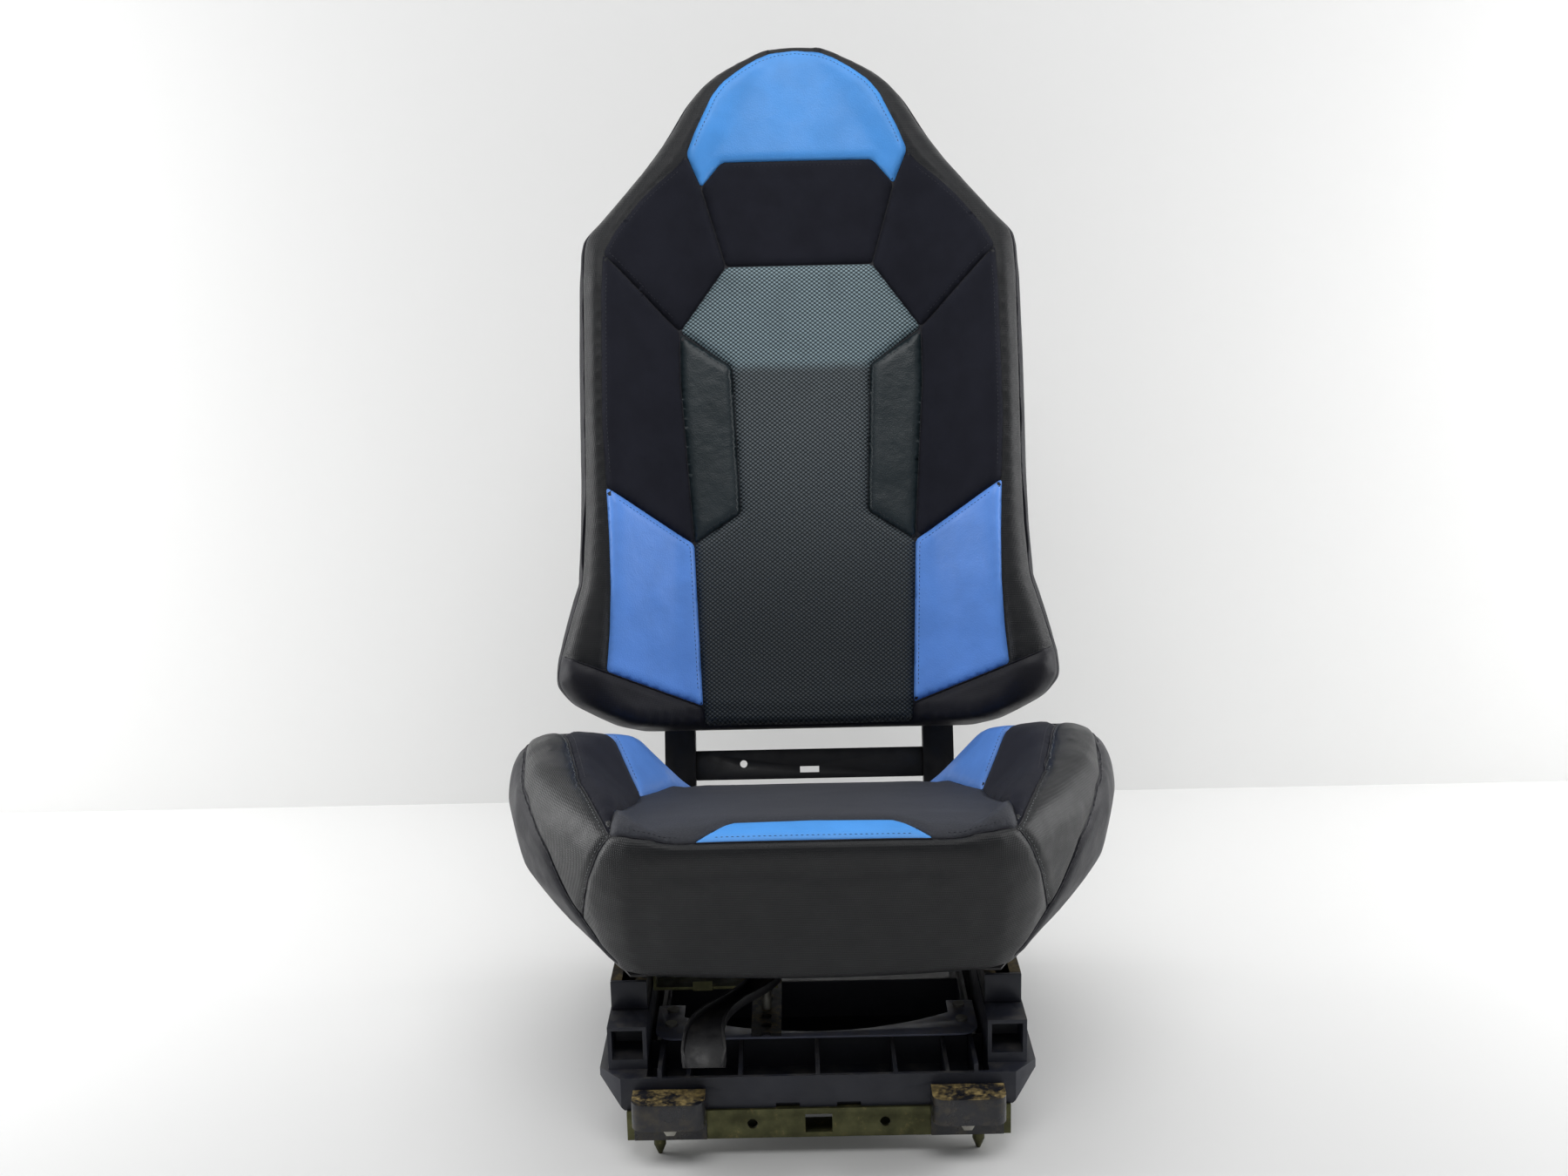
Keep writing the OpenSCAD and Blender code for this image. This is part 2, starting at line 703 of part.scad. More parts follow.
module upright_bolts() color("#777468") {
  both_sides() translate([upright_x, 0, frame_z + tube_h / 2]) {
    translate([0, rear_tube_y1 + tube_t, 0]) rotate([90, 0, 0]) bolt(2 * tube_t + nut_h + 1);
    translate([0, rear_tube_y1 - tube_t, 0]) rotate([90, 0, 0]) nut();
  }
}

module lever_bracket() color("#55512f") {
  ear_x = lever_half + ear_gap;
  difference() {
    translate([-lever_x, 0, 0]) {
      box(-ear_x - sheet, ear_x + sheet, pivot_y - 12, pivot_y + 12, frame_z - sheet, frame_z);
      both_sides() {
        box(ear_x, ear_x + sheet, pivot_y - 12, pivot_y + 12, pivot_z, frame_z);
        translate([ear_x, pivot_y, pivot_z]) rotate([0, 90, 0]) cylinder(r = 12, h = sheet);
      }
    }
    translate([-lever_x - 60, pivot_y, pivot_z]) rotate([0, 90, 0]) cylinder(r = pivot_r + fit_gap, h = 120);
  }
}

module lever_pin() color("#8b8b86") translate([-lever_x, pivot_y, pivot_z]) rotate([0, 90, 0]) {
  half = lever_half + ear_gap + sheet;
  translate([0, 0, -half]) cylinder(r = pivot_r, h = 2 * half);
  for (s = [-1, 1]) translate([0, 0, s * (half + 1)]) cylinder(r = pivot_r + 2.5, h = 2, center = true);
}

module lever_spring() color("#8b8b86") {
  translate([-lever_x - 6, pivot_y, pivot_z]) rotate([0, 90, 0]) helix(hub_r + 1.3, 0.9, 5, 2.4);
}

// A strap from the left side tube down and across to the plunger's guide, with a tab
module plunger_bracket() color("#55512f") {
  difference() {
    union() {
      box(-side_x0, -side_x0 + sheet, strap_y0, strap_y1, guide_z0, pan_z - 6);
      box(-side_x0, -lever_x + strap_half, strap_y0, strap_y1, guide_z0, guide_z0 + sheet);
      translate([-lever_x, plunger_y, guide_z0]) cylinder(r = plunger_r + 3, h = guide_h);
      box(-side_x0 + tab_in, -side_x0 + tab_in + tab_w, strap_y0 - sheet, strap_y0 + eps,
        guide_z0, guide_z0 + tab_h);
    }
    translate([-lever_x, plunger_y, guide_z0 - 1]) cylinder(r = plunger_r + fit_gap, h = guide_h + 2);
  }
}

// Slide lever: a dished channel swept along a side curve and trimmed to a plan curve
lever_end_y = pivot_y + 14;
curve_y = 25;
drop_y = 72;
drop_z = 40;
drop_end = 72;

function lever_side(h) = concat(
  [[lever_end_y, lever_z + h], [curve_y + 40, lever_z + h]],
  [for (a = [0 : 8 : drop_end]) let (
      p = [curve_y - drop_y * sin(a), lever_z - drop_z * (1 - cos(a))],
      n = [-drop_z * sin(a), drop_y * cos(a)])
    p + h * n / norm(n)]);
function lever_mid(y) = -paddle_x + (paddle_x - lever_x) * smooth((y + 20) / 110);
function lever_wide(y) = lookup(y, [[-52, paddle_w / 2 - 6], [-46, paddle_w / 2 - 1], [-38, paddle_w / 2],
  [-15, paddle_w / 2 - 3], [30, 13], [plunger_y - 20, lever_half], [lever_end_y, lever_half]]);

module lever_solid(h0, h1, inset) {
  low = lever_side(h0);
  high = lever_side(h1);
  ys = [for (y = [-56 : 8 : lever_end_y + 8]) y];
  left = [for (y = ys) [lever_mid(y) - lever_wide(y) + inset, y]];
  right = [for (i = [len(ys) - 1 : -1 : 0]) [lever_mid(ys[i]) + lever_wide(ys[i]) - inset, ys[i]]];
  intersection() {
    rotate([90, 0, 90]) translate([0, 0, -180]) linear_extrude(180) {
      polygon(concat(low, [for (i = [len(high) - 1 : -1 : 0]) high[i]]));
    }
    linear_extrude(frame_z) polygon(concat(left, right));
  }
}

module slide_lever() color("#2c2d31") {
  rim = 9;
  difference() {
    union() {
      difference() {
        lever_solid(0, rim, 0);
        lever_solid(lever_t, rim + 6, lever_t);
      }
      for (s = [-1, 1]) translate([-lever_x + s * (lever_half - lever_t / 2), pivot_y, pivot_z]) {
        rotate([0, 90, 0]) cylinder(r = hub_r + 3, h = lever_t, center = true);
      }
      for (s = [-1, 1]) translate([-lever_x + s * (lever_half - lever_t / 2), 0, 0]) {
        box(-lever_t / 2, lever_t / 2, plunger_y - 9, pivot_y + 6, lever_z, pivot_z + 6);
      }
      translate([-lever_x, pivot_y, pivot_z]) rotate([0, 90, 0]) {
        cylinder(r = hub_r, h = 2 * lever_half, center = true);
      }
    }
    translate([-lever_x, pivot_y, pivot_z]) rotate([0, 90, 0]) {
      cylinder(r = pivot_r + fit_gap, h = 2 * lever_half + 2, center = true);
    }
    translate([-lever_x, plunger_y, pivot_z]) rotate([0, 90, 0]) {
      cylinder(r = cross_pin_r + 2, h = 2 * lever_half + 2, center = true);
    }
    translate([-lever_x, plunger_y, lever_z - 1]) cylinder(r = plunger_r + 2, h = lever_t + 2);
  }
}

module lock_plunger() color("#8b8b86") {
  z0 = rack_z + plunger_gap;
  translate([-lever_x, plunger_y, z0]) cylinder(r = plunger_r, h = pivot_z + cross_pin_r + 2 - z0);
  translate([-lever_x, plunger_y, pivot_z]) rotate([0, 90, 0]) {
    cylinder(r = cross_pin_r, h = 2 * lever_half + 3, center = true);
  }
}

// ---------------------------------------------------------------- soft pads

// A pad is a row of rings. Each ring is an open path from one edge round the front to the other.
// A closed pad joins the two ends of every ring; a cover is an outer and an inner pad joined at the edge.
function ring_skin(rings, m, from, flip) = [for (i = [0 : rings - 2], j = [0 : m - 2])
  let (a = from + i * m + j, b = a + 1, c = a + m, d = c + 1)
  each (flip ? [[a, b, c], [b, d, c]] : [[a, c, b], [b, c, d]])];
function end_cap(m, from, flip) = [for (j = [0 : (m - 3) / 2])
  let (a = from + j, b = a + 1, c = from + m - 1 - j, d = c - 1)
  each (b == d ? [flip ? [a, c, b] : [a, b, c]] : flip ? [[a, c, b], [b, c, d]] : [[a, b, c], [b, d, c]])];
function pad_caps(rings, m, from, flip) =
  concat(end_cap(m, from, flip), end_cap(m, from + (rings - 1) * m, !flip));
function pad_back(rings, m) = [for (i = [0 : rings - 2])
  let (a = i * m, b = a + m - 1, c = a + m, d = c + m - 1) each [[a, b, d], [a, d, c]]];
function pad_edge(rings, m, o) = concat(
  [for (i = [0 : rings - 2]) let (a = i * m, c = a + m) each [[a, o + a, o + c], [a, o + c, c]]],
  [for (i = [0 : rings - 2]) let (a = i * m + m - 1, c = a + m) each [[a, o + c, o + a], [a, c, o + c]]],
  [for (a = [0], b = [m - 1]) each [[a, b, o + b], [a, o + b, o + a]]],
  [for (a = [(rings - 1) * m], b = [rings * m - 1]) each [[a, o + b, b], [a, o + a, o + b]]]);

// Half a ring mirrored into a whole one, and a height raised by the pad's crown at x
function ring_path(half) = concat([for (p = half) [-p[0], p[1]]],
  [for (i = [len(half) - 2 : -1 : 0]) half[i]]);
function crowned(x, w, height) = [x, height + crown_h * (1 - x * x / (w * w))];

module solid_pad(rings) {
  n = len(rings);
  m = len(rings[0]);
  polyhedron(points = [for (r = rings) each r],
    faces = concat(ring_skin(n, m, 0, false), pad_caps(n, m, 0, false), pad_back(n, m)), convexity = 8);
}

module cover_pad(outer, inner) {
  n = len(outer);
  m = len(outer[0]);
  o = n * m;
  polyhedron(points = concat([for (r = outer) each r], [for (r = inner) each r]),
    faces = concat(ring_skin(n, m, 0, false), pad_caps(n, m, 0, false),
      ring_skin(n, m, o, true), pad_caps(n, m, o, true), pad_edge(n, m, o)), convexity = 8);
}

// Cushion. Stations run from the front seam to the rear as shares of its length.
cushion_steps = [-0.012, 0, 0.02, 0.05, 0.1, 0.16, 0.24, 0.32, 0.4, 0.48, 0.56, 0.64, 0.71, 0.78, 0.84,
  0.89, 0.93, 0.965, 0.99, 1];

function cushion_half(f) = cushion_w / 2 * lookup(f, [[-0.012, 0.56], [0, 0.585], [0.05, 0.66],
  [0.21, 0.8], [0.4, 0.93], [0.57, 0.988], [0.69, 1], [0.88, 0.985], [0.96, 0.95], [1, 0.91]]);
function seat_line(f) = cushion_rear_h + (cushion_front_h - cushion_rear_h) * lookup(f, [[-0.012, 0.88],
  [0, 0.97], [0.03, 1], [0.15, 0.96], [0.34, 0.76], [0.58, 0.5], [0.8, 0.25], [0.96, 0.03], [1, -0.14]]);
function bolster_line(f) = let (s = seat_line(f)) s + (bolster_h - s) * lookup(f, [[-0.012, 0], [0, 0.04],
  [0.05, 0.3], [0.22, 0.72], [0.4, 0.95], [0.59, 1], [0.69, 0.87], [0.78, 0.745], [0.85, 0.66],
  [0.9, 0.55], [0.94, 0.4], [0.98, 0.13], [1, 0]]);
cushion_lean = 0.4;
cushion_foot = 188;
function seat_half(f) = lookup(f, [[0, 172], [0.5, 172], [0.65, 155], [0.78, 138], [1, 130]]);
function bolster_width(f) = lookup(f, [[0, 60], [0.5, 60], [0.65, 80], [0.78, 105], [0.92, 110], [1, 100]]);

function cushion_ring(f, d) = let (
    full = cushion_half(f),
    w = full - d,
    y = cushion_len * f - cushion_ahead + (f < 0.5 ? d : -d) * (f < 0.02 || f > 0.985 ? 1 : 0),
    seat = seat_line(f) - d,
    top = bolster_line(f) - d,
    low = min(w - 12, cushion_foot - d),
    middle = min(seat_half(f), full - bolster_width(f) - 2),
    slope = full - bolster_width(f) - middle,
    flat = middle + d,
    rise = top - seat,
    wide = 0.66 * bolster_line(f),
    half = [[low, 0], [low + 0.64 * (w - low), 0.22 * wide + 0.6 * d],
      [w - 0.07 * (w - low), 0.6 * wide + 0.4 * d], [w, wide], [w - 5, top - 0.5 * (top - wide)],
      crowned(w - 22, w, top - 6), crowned(w - 42, w, top),
      crowned(flat + 0.72 * slope, w, seat + 0.88 * rise),
      crowned(flat + 0.3 * slope, w, seat + 0.38 * rise), crowned(flat, w, seat + 0.02 * rise),
      crowned(0.55 * flat, w, seat), crowned(0, w, seat)],
    path = ring_path(half),
    lean = cushion_lean * (1 - smooth(f / 0.55)))
  [for (p = path) [p[0], y + lean * (cushion_front_h - p[1]), cushion_z + p[1]]];

function cushion_rings(d) = [for (f = cushion_steps) cushion_ring(f, d)];

// The pan stays inside the cushion's foot, so its edge doesn't show
pan_in = 28;
pan_ahead = 6;
pan_short = 6;
pan_corner = 40;
pan_hole_r = 16;

module cushion_pan() color("#1f2024") {
  half = rail_x + side_tube_w / 2 - pan_in;
  difference() {
    translate([0, -pan_ahead, pan_z]) {
      rounded_block(2 * half, rear_tube_y1 - pan_short + pan_ahead, pan_t, pan_corner);
    }
    for (x = [-90, 0, 90], y = [80, 220]) translate([x, y, pan_z - 1]) cylinder(r = pan_hole_r, h = pan_t + 2);
  }
}

module cushion_foam() color("#c9b98a") solid_pad(cushion_rings(cover_t + soft_gap));

module cushion_cover() color("#26272c") cover_pad(cushion_rings(0), cushion_rings(cover_t));

// Back. Its local frame has x across, y to the rear and z up along the pad from its lower edge.
module at_back() {
  translate([0, back_y, back_z]) rotate([-back_tilt, 0, 0]) children();
}

hip = hip_w / 2;
chest = chest_w / 2;
head = head_w / 2;
back_sides = [[0, 0.67 * hip], [0.012, 0.77 * hip], [0.024, 0.84 * hip], [0.044, 0.945 * hip], [0.069, hip],
  [0.095, 0.996 * hip], [0.143, 0.96 * hip], [0.2, 0.905 * hip], [0.26, 0.5 * chest + 0.447 * hip],
  [0.36, chest], [0.5, 1.005 * chest], [0.63, 1.005 * chest], [0.675, 1.01 * chest], [0.7, 0.995 * chest],
  [0.724, 0.96 * chest], [0.776, 0.83 * chest], [0.83, 1.17 * head], [0.88, head], [0.925, 0.88 * head],
  [0.95, 0.78 * head], [0.968, 0.66 * head], [0.985, 0.48 * head], [0.994, 0.34 * head], [1, 0.2 * head]];
function back_half(f) = lookup(f, back_sides);
function wing(f) = wing_h * lookup(f, [[0, 0.1], [0.012, 0.55], [0.03, 0.85], [0.07, 1], [0.3, 0.95],
  [0.5, 0.85], [0.65, 0.75], [0.75, 0.55], [0.83, 0.35], [0.9, 0.2], [1, 0.1]]);
function middle_half(f) = lookup(f, [[0, 118], [0.28, 124], [0.59, 136], [0.69, 110], [0.83, 90], [1, 10]]);
back_steps = [0, 0.012, 0.024, 0.044, 0.069, 0.1, 0.15, 0.21, 0.28, 0.36, 0.44, 0.52, 0.59, 0.65, 0.69,
  0.72, 0.755, 0.79, 0.83, 0.88, 0.925, 0.95, 0.968, 0.985, 0.994, 1];

function back_ring(f, d) = let (
    ends = f == 0 || f == 1,
    full = back_half(f),
    w = full - d,
    z = back_len * f + (f == 0 ? d : -d * smooth((f - 0.85) / 0.1)),
    roll = min(26, 0.4 * full),
    crest_x = min(full - roll + d, w - 0.5 * roll),
    front = ends ? -12 - d : -d,
    crest = front + (ends ? 0 : wing(f)),
    flat = min(middle_half(f), full - roll - 20 * min(1, full / 60)) * (full > 40 ? 1 : 0.5),
    run = crest_x - flat,
    back = -pad_d,
    rim = crest - (ends ? 14 : 34),
    half = [[w - min(12, 0.3 * w), back], [w, back + 12], [w, 0.5 * (back + 12 + rim)], [w, rim],
      crowned(w - 0.3 * roll, w, crest - (ends ? 4 : 10)), crowned(crest_x, w, crest),
      crowned(flat + 0.8 * run, w, front + 0.92 * (crest - front)),
      crowned(flat + 0.5 * run, w, front + 0.5 * (crest - front)),
      crowned(flat + 0.2 * run, w, front + 0.08 * (crest - front)),
      crowned(flat, w, front), crowned(0.5 * flat, w, front), crowned(0, w, front)])
  [for (p = ring_path(half)) [p[0], -p[1], z]];

function back_rings(d) = [for (f = back_steps) back_ring(f, d)];

module back_foam() color("#c9b98a") at_back() solid_pad(back_rings(cover_t + soft_gap));

module back_cover() color("#1c1d21") at_back() cover_pad(back_rings(0), back_rings(cover_t));

function back_shape(inset) = mirrored([for (p = back_sides) [p[1] - inset,
  min(max(back_len * p[0], inset), back_len - inset)]]);

// Side view of an upright's centre line with half depth h, from its foot up to s along the back
function upright_side(h, foot, s) = let (
    c = cos(back_tilt),
    k = sin(back_tilt),
    top = [back_y - upright_n * c + s * k, back_z + upright_n * k + s * c])
  [[upright_y - h, foot], [upright_y - h, bend_z + h * tan(back_tilt / 2)], top - [h * c, -h * k],
    top + [h * c, -h * k], [upright_y + h, bend_z - h * tan(back_tilt / 2)], [upright_y + h, foot]];

upright_top = 0.765 * back_len;
between = upright_x - upright_w / 2;
cross_drop = 22;
cross_hole_x = 76;
cross_hole_r = 4.2;
slot_w = 22;
slot_h = 7;
middle_tube_s = 240;
head_plate_w = 124;
upright_n_rear = upright_n - upright_d / 2;
boss_r = 9;
shell_n = -pad_d - soft_gap;
shell_rear = shell_n - shell_d;
shell_screw_ss = [90, 330, 560];

module screw_row(from_n) {
  for (s = shell_screw_ss) translate([0, -from_n, s]) rotate([-90, 0, 0]) children();
}

module upright() {
  difference() {
    translate([-upright_w / 2, 0, 0]) rotate([90, 0, 90]) linear_extrude(upright_w) {
      polygon(upright_side(upright_d / 2, frame_z, upright_top));
    }
    translate([-upright_w / 2 + tube_t, 0, 0]) rotate([90, 0, 90]) linear_extrude(upright_w - 2 * tube_t) {
      polygon(upright_side(upright_d / 2 - tube_t, frame_z - 1, upright_top + 1));
    }
    translate([0, upright_y - upright_d, frame_z + tube_h / 2]) rotate([-90, 0, 0]) {
      cylinder(r = bolt_r + bolt_gap, h = upright_d);
    }
    at_back() screw_row(upright_n_rear + tube_t + 1) cylinder(r = screw_r + bolt_gap, h = tube_t + 2);
  }
}

module upright_left() color("#1f2024") translate([-upright_x, 0, 0]) upright();

module upright_right() color("#1f2024") translate([upright_x, 0, 0]) upright();

module cross_plate() color("#232428") at_back() {
  top = -cross_drop;
  hole_z = top - 16;
  difference() {
    box(-between, between, -upright_n, -upright_n + sheet, top - cross_h, top);
    translate([-cross_hole_x, -upright_n - 1, hole_z]) rotate([-90, 0, 0]) {
      cylinder(r = cross_hole_r, h = sheet + 2);
    }
    box(-slot_w / 2, slot_w / 2, -upright_n - 1, -upright_n + sheet + 1, hole_z - 4 - slot_h, hole_z - 4);
  }
}

module back_cross_tube(s) {
  front = -upright_n - upright_d / 2;
  at_back() tube_x(-between, between, front, front + upright_d, s, s + tube_h, tube_t);
}

module back_middle_tube() color("#1f2024") back_cross_tube(middle_tube_s);

module back_top_tube() color("#1f2024") back_cross_tube(upright_top - tube_h - 2);

module head_plate() color("#1f2024") at_back() {
  z0 = upright_top - 2;
  front = -upright_n - upright_d / 2;
  difference() {
    box(-head_plate_w / 2, head_plate_w / 2, front, front + sheet, z0, z0 + 0.16 * back_len);
    for (s = [-1, 1]) translate([s * head_plate_w / 4, front - 1, z0 + head_plate_w / 2]) {
      rotate([-90, 0, 0]) cylinder(r = 12, h = sheet + 2);
    }
  }
}

module back_pan() color("#3b3a26") at_back() {
  reach = upright_x + upright_w / 2 + 4;
  low = 24;
  high = 0.76 * back_len;
  translate([0, pad_d + soft_gap, 0]) difference() {
    union() {
      box(-reach, reach, 0, back_pan_t, low, high);
      box(-70, 70, 0, back_pan_t, high - eps, 0.93 * back_len);
    }
    for (x = [-70, 0, 70], z = [110, 190, 330, 410, 490]) {
      translate([x, -1, z]) rotate([-90, 0, 0]) cylinder(r = 18, h = back_pan_t + 2);
    }
  }
}

module back_shell() color("#17181b") at_back() {
  difference() {
    union() {
      difference() {
        translate([0, -shell_rear, 0]) rotate([90, 0, 0]) linear_extrude(shell_d) polygon(back_shape(6));
        translate([0, -shell_rear - shell_t, 0]) rotate([90, 0, 0]) {
          linear_extrude(shell_d) polygon(back_shape(6 + shell_t));
        }
      }
      both_sides() translate([upright_x, 0, 0]) screw_row(upright_n_rear) {
        cylinder(r = boss_r, h = -shell_rear + upright_n_rear - shell_t + eps);
      }
    }
    // the uprights leave through the lower wall
    both_sides() box(upright_x - upright_w / 2 - 2, upright_x + upright_w / 2 + 2, -shell_n - 1,
      -upright_n_rear + 2, -20, 40);
    both_sides() translate([upright_x, 0, 0]) screw_row(upright_n_rear + 1) {
      cylinder(r = screw_r + bolt_gap, h = shell_d);
    }
  }
}

module shell_screws() color("#777468") at_back() {
  both_sides() translate([upright_x, 0, 0]) screw_row(shell_rear) mirror([0, 0, 1]) {
    bolt(-shell_rear + upright_n_rear + tube_t + 3, head_h = screw_head_h, head_r = screw_head_r, r = screw_r,
      sides = 24);
  }
}

base_tray();
front_cross_bar();
rear_cross_bar();
locating_pins();
rubber_buffers();
bar_bolts();
front_hook_left();
front_hook_right();
hook_bolts();
lock_plate();
lock_plate_screws();
lock_rack();
lower_rail_left();
lower_rail_right();
rail_end_caps();
rail_bolts();
latch_bracket();
latch_bolts();
latch_pin();
latch_spring();
latch_claw();
upper_rail_left();
upper_rail_right();
glide_pads();
frame_side_left();
frame_side_right();
frame_front_tube();
frame_middle_tube();
frame_rear_tube();
frame_bolts();
lever_bracket();
lever_pin();
lever_spring();
plunger_bracket();
slide_lever();
lock_plunger();
cushion_pan();
cushion_foam();
cushion_cover();
upright_left();
upright_right();
upright_bolts();
cross_plate();
back_middle_tube();
back_top_tube();
head_plate();
back_pan();
back_foam();
back_cover();
back_shell();
shell_screws();
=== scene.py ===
"""High-back bucket seat on a slide base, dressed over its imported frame.

Lengths are metres in Blender. The sewing patterns below are written in millimetres, in the plane
that each one is cut in: across and up the back, across and along the cushion, or from the side.
"""

import json
import math

import bmesh
import bpy
import numpy as np
from bpy.props import FloatProperty, FloatVectorProperty, IntProperty, PointerProperty
from bpy.types import Operator, Panel, PropertyGroup
from mathutils import Matrix, Vector
from mathutils.bvhtree import BVHTree
from mathutils.geometry import delaunay_2d_cdt
from mathutils.kdtree import KDTree


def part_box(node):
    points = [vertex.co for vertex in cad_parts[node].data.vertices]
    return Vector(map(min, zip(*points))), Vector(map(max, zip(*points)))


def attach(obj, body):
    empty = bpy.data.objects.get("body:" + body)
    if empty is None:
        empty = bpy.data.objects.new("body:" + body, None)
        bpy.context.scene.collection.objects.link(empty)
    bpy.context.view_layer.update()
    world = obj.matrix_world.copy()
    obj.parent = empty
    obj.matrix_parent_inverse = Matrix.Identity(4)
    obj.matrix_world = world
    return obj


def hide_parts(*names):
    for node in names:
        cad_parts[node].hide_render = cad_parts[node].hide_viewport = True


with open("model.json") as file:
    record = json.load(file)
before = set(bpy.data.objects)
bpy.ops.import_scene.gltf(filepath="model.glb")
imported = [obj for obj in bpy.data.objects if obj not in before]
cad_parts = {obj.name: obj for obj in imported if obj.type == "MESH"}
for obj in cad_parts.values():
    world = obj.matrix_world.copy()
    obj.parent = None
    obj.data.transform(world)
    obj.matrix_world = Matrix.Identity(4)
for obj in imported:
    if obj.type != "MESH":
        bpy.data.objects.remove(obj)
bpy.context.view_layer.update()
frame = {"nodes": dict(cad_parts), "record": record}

bl_info = {
    "name": "Bucket seat on a slide base",
    "version": (1, 0, 0),
    "blender": (4, 5, 0),
    "location": "View3D > Sidebar > Seat",
    "description": "Sews the covers and finishes the metal and plastic of a high-back bucket seat",
    "category": "Add Mesh",
}

MM = 0.001

# The back's own axes: across, up along the pad and forward out of it
BACK_LEAN = math.radians(18)
BACK_ORIGIN = Vector((0, 0.350, 0.2993))
BACK_UP = Vector((0, math.sin(BACK_LEAN), math.cos(BACK_LEAN)))
BACK_OUT = Vector((0, -math.cos(BACK_LEAN), math.sin(BACK_LEAN)))

# Pitches of the materials' patterns
EMBOSS_PITCH = 0.0031
WEAVE_PITCH = 0.0011
DOT_PITCH = (0.0057, 0.0046)
# A ray that lays a pattern on its pad starts this far before it and reaches this far
RAY_LEAD = 0.15
RAY_REACH = 0.3
# How near a corner a pattern's line starts to turn, in millimetres
CORNER_REACH = 3.0
WELT_SIDES = 8


# ---------------------------------------------------------------- settings


def paint(red, green, blue):
    """Linear colour of an 8-bit screen colour."""
    return tuple(c / 12.92 if c <= 0.04045 else ((c + 0.055) / 1.055) ** 2.4
                 for c in (red / 255, green / 255, blue / 255))


def length(name, text, default, low, high):
    return FloatProperty(name=name, description=text, default=default, min=low, max=high,
                         unit="LENGTH", subtype="DISTANCE", precision=5)


def colour(name, text, *screen):
    return FloatVectorProperty(name=name, description=text, default=paint(*screen), size=3, min=0, max=1,
                               subtype="COLOR")


class SeatSewing(PropertyGroup):
    """Sizes of the sewn covers."""

    grid: length("Grid", "Spacing of the pads' mesh before it is subdivided", 0.006, 0.003, 0.02)
    wadding: length("Wadding", "Thickness of the cover and its wadding over the foam", 0.0022, 0, 0.02)
    swell: length("Swell", "Twice the furthest that the filling pushes the cover out", 0.0048, 0, 0.02)
    pressure: FloatProperty(name="Pressure", description="Pressure of the filling", default=4, min=0, max=20)
    steps: IntProperty(name="Steps", description="Frames that the filling takes to swell", default=20, min=1)
    seam_depth: length("Seam depth", "How far a seam pulls the cover in", 0.0034, 0, 0.02)
    seam_width: length("Seam width", "Reach of a seam's valley to each side", 0.010, 0.002, 0.05)
    panel_grid: length("Panel grid", "Spacing of a sewn panel's mesh", 0.0045, 0.002, 0.02)
    panel_lift: length("Panel lift", "How proud a panel lies inside its seams", 0.0015, 0, 0.01)
    panel_edge: length("Panel edge", "How proud a panel lies at its seams", 0.0003, 0, 0.01)
    panel_tuck: length("Panel tuck", "How deep a panel's edge turns under", 0.002, 0, 0.01)
    panel_gap: length("Panel gap", "Between the edges of two panels at a seam", 0.0008, 0, 0.01)
    welt: length("Welt", "Radius of the folded welt on the outer seams", 0.0017, 0, 0.01)
    stitch_pitch: length("Stitch pitch", "From one stitch to the next", 0.0048, 0.002, 0.02)
    stitch_length: length("Stitch length", "Length of one stitch", 0.0034, 0.001, 0.02)
    stitch_width: length("Stitch width", "Thickness of the thread", 0.0009, 0.0002, 0.003)


class SeatHardware(PropertyGroup):
    """Sizes of the moulded and pressed pieces' finish."""

    edge: length("Edge", "Rounding of the moulded and pressed edges", 0.0007, 0.0001, 0.003)
    shell_edge: length("Shell edge", "Rounding of the rear shell's rim", 0.008, 0.001, 0.012)


class SeatColours(PropertyGroup):
    """Base colours of the finishes."""

    blue: colour("Blue vinyl", "Head panel and front patch", 80, 158, 238)
    deep_blue: colour("Deep blue vinyl", "Blue panels of the bolsters", 102, 156, 242)
    cloth: colour("Black cloth", "Side and upper panels", 31, 32, 40)
    rim: colour("Rim vinyl", "Rim, cushion front and bolster faces", 27, 28, 30)
    side: colour("Side vinyl", "Band behind the rim, lower corners and flanks", 24, 24, 31)
    inset: colour("Inset vinyl", "The two side insets of the back", 34, 44, 48)
    # The dotted vinyl's colours carry painted light: the paler dot tops are a painted highlight, the darker
    # ground between the dots is painted shade, and the upper dots are a painted sheen on the upper part.
    dot_gap: colour("Between dots", "Ground of the dotted vinyl", 36, 47, 52)
    lit_dot_top: colour("Upper dots", "Tops of the dots on the upper part", 148, 170, 178)
    dot_low: colour("Lower dots", "Tops of the dots on the lower part", 102, 111, 116)
    seat: colour("Seat cloth", "Top of the cushion", 57, 59, 66)
    thread: colour("Thread", "Top stitching", 34, 36, 44)
    # The pale thread stands for the light dashes along the cushion's outer seams: partly worn thread, partly
    # a painted highlight.
    pale_thread: colour("Pale thread", "Worn stitching on the cushion's outer seams", 112, 116, 118)
    plastic: colour("Moulded plastic", "Base tray and shell", 33, 35, 44)
    zinc: colour("Olive zinc", "Plated bars, pins and brackets", 80, 80, 54)
    steel: colour("Bright steel", "Fasteners, pins and worn edges", 158, 156, 148)
    black_paint: colour("Black paint", "Frame, rails and lever", 17, 17, 20)
    hook_paint: colour("Hook paint", "Front hooks", 26, 27, 33)
    # The plate behind the lever is dark shiny steel; this pale bluish grey is the reflection on it, painted
    # into its colour.
    plate_paint: colour("Plate paint", "Plate behind the lever", 118, 122, 142)
    rust: colour("Rust", "Rust on worn steel", 168, 146, 92)
    dust: colour("Dust", "Dried dust on upward faces", 104, 100, 90)
    glide: colour("Glide plastic", "Glide pads", 214, 210, 196)
    rubber: colour("Rubber", "Buffers", 26, 26, 28)
    paper: colour("Backdrop", "Floor and wall", 229, 229, 228)


def sewing():
    return bpy.context.scene.seat_sewing


def colours():
    return bpy.context.scene.seat_colours


# ---------------------------------------------------------------- shader graphs


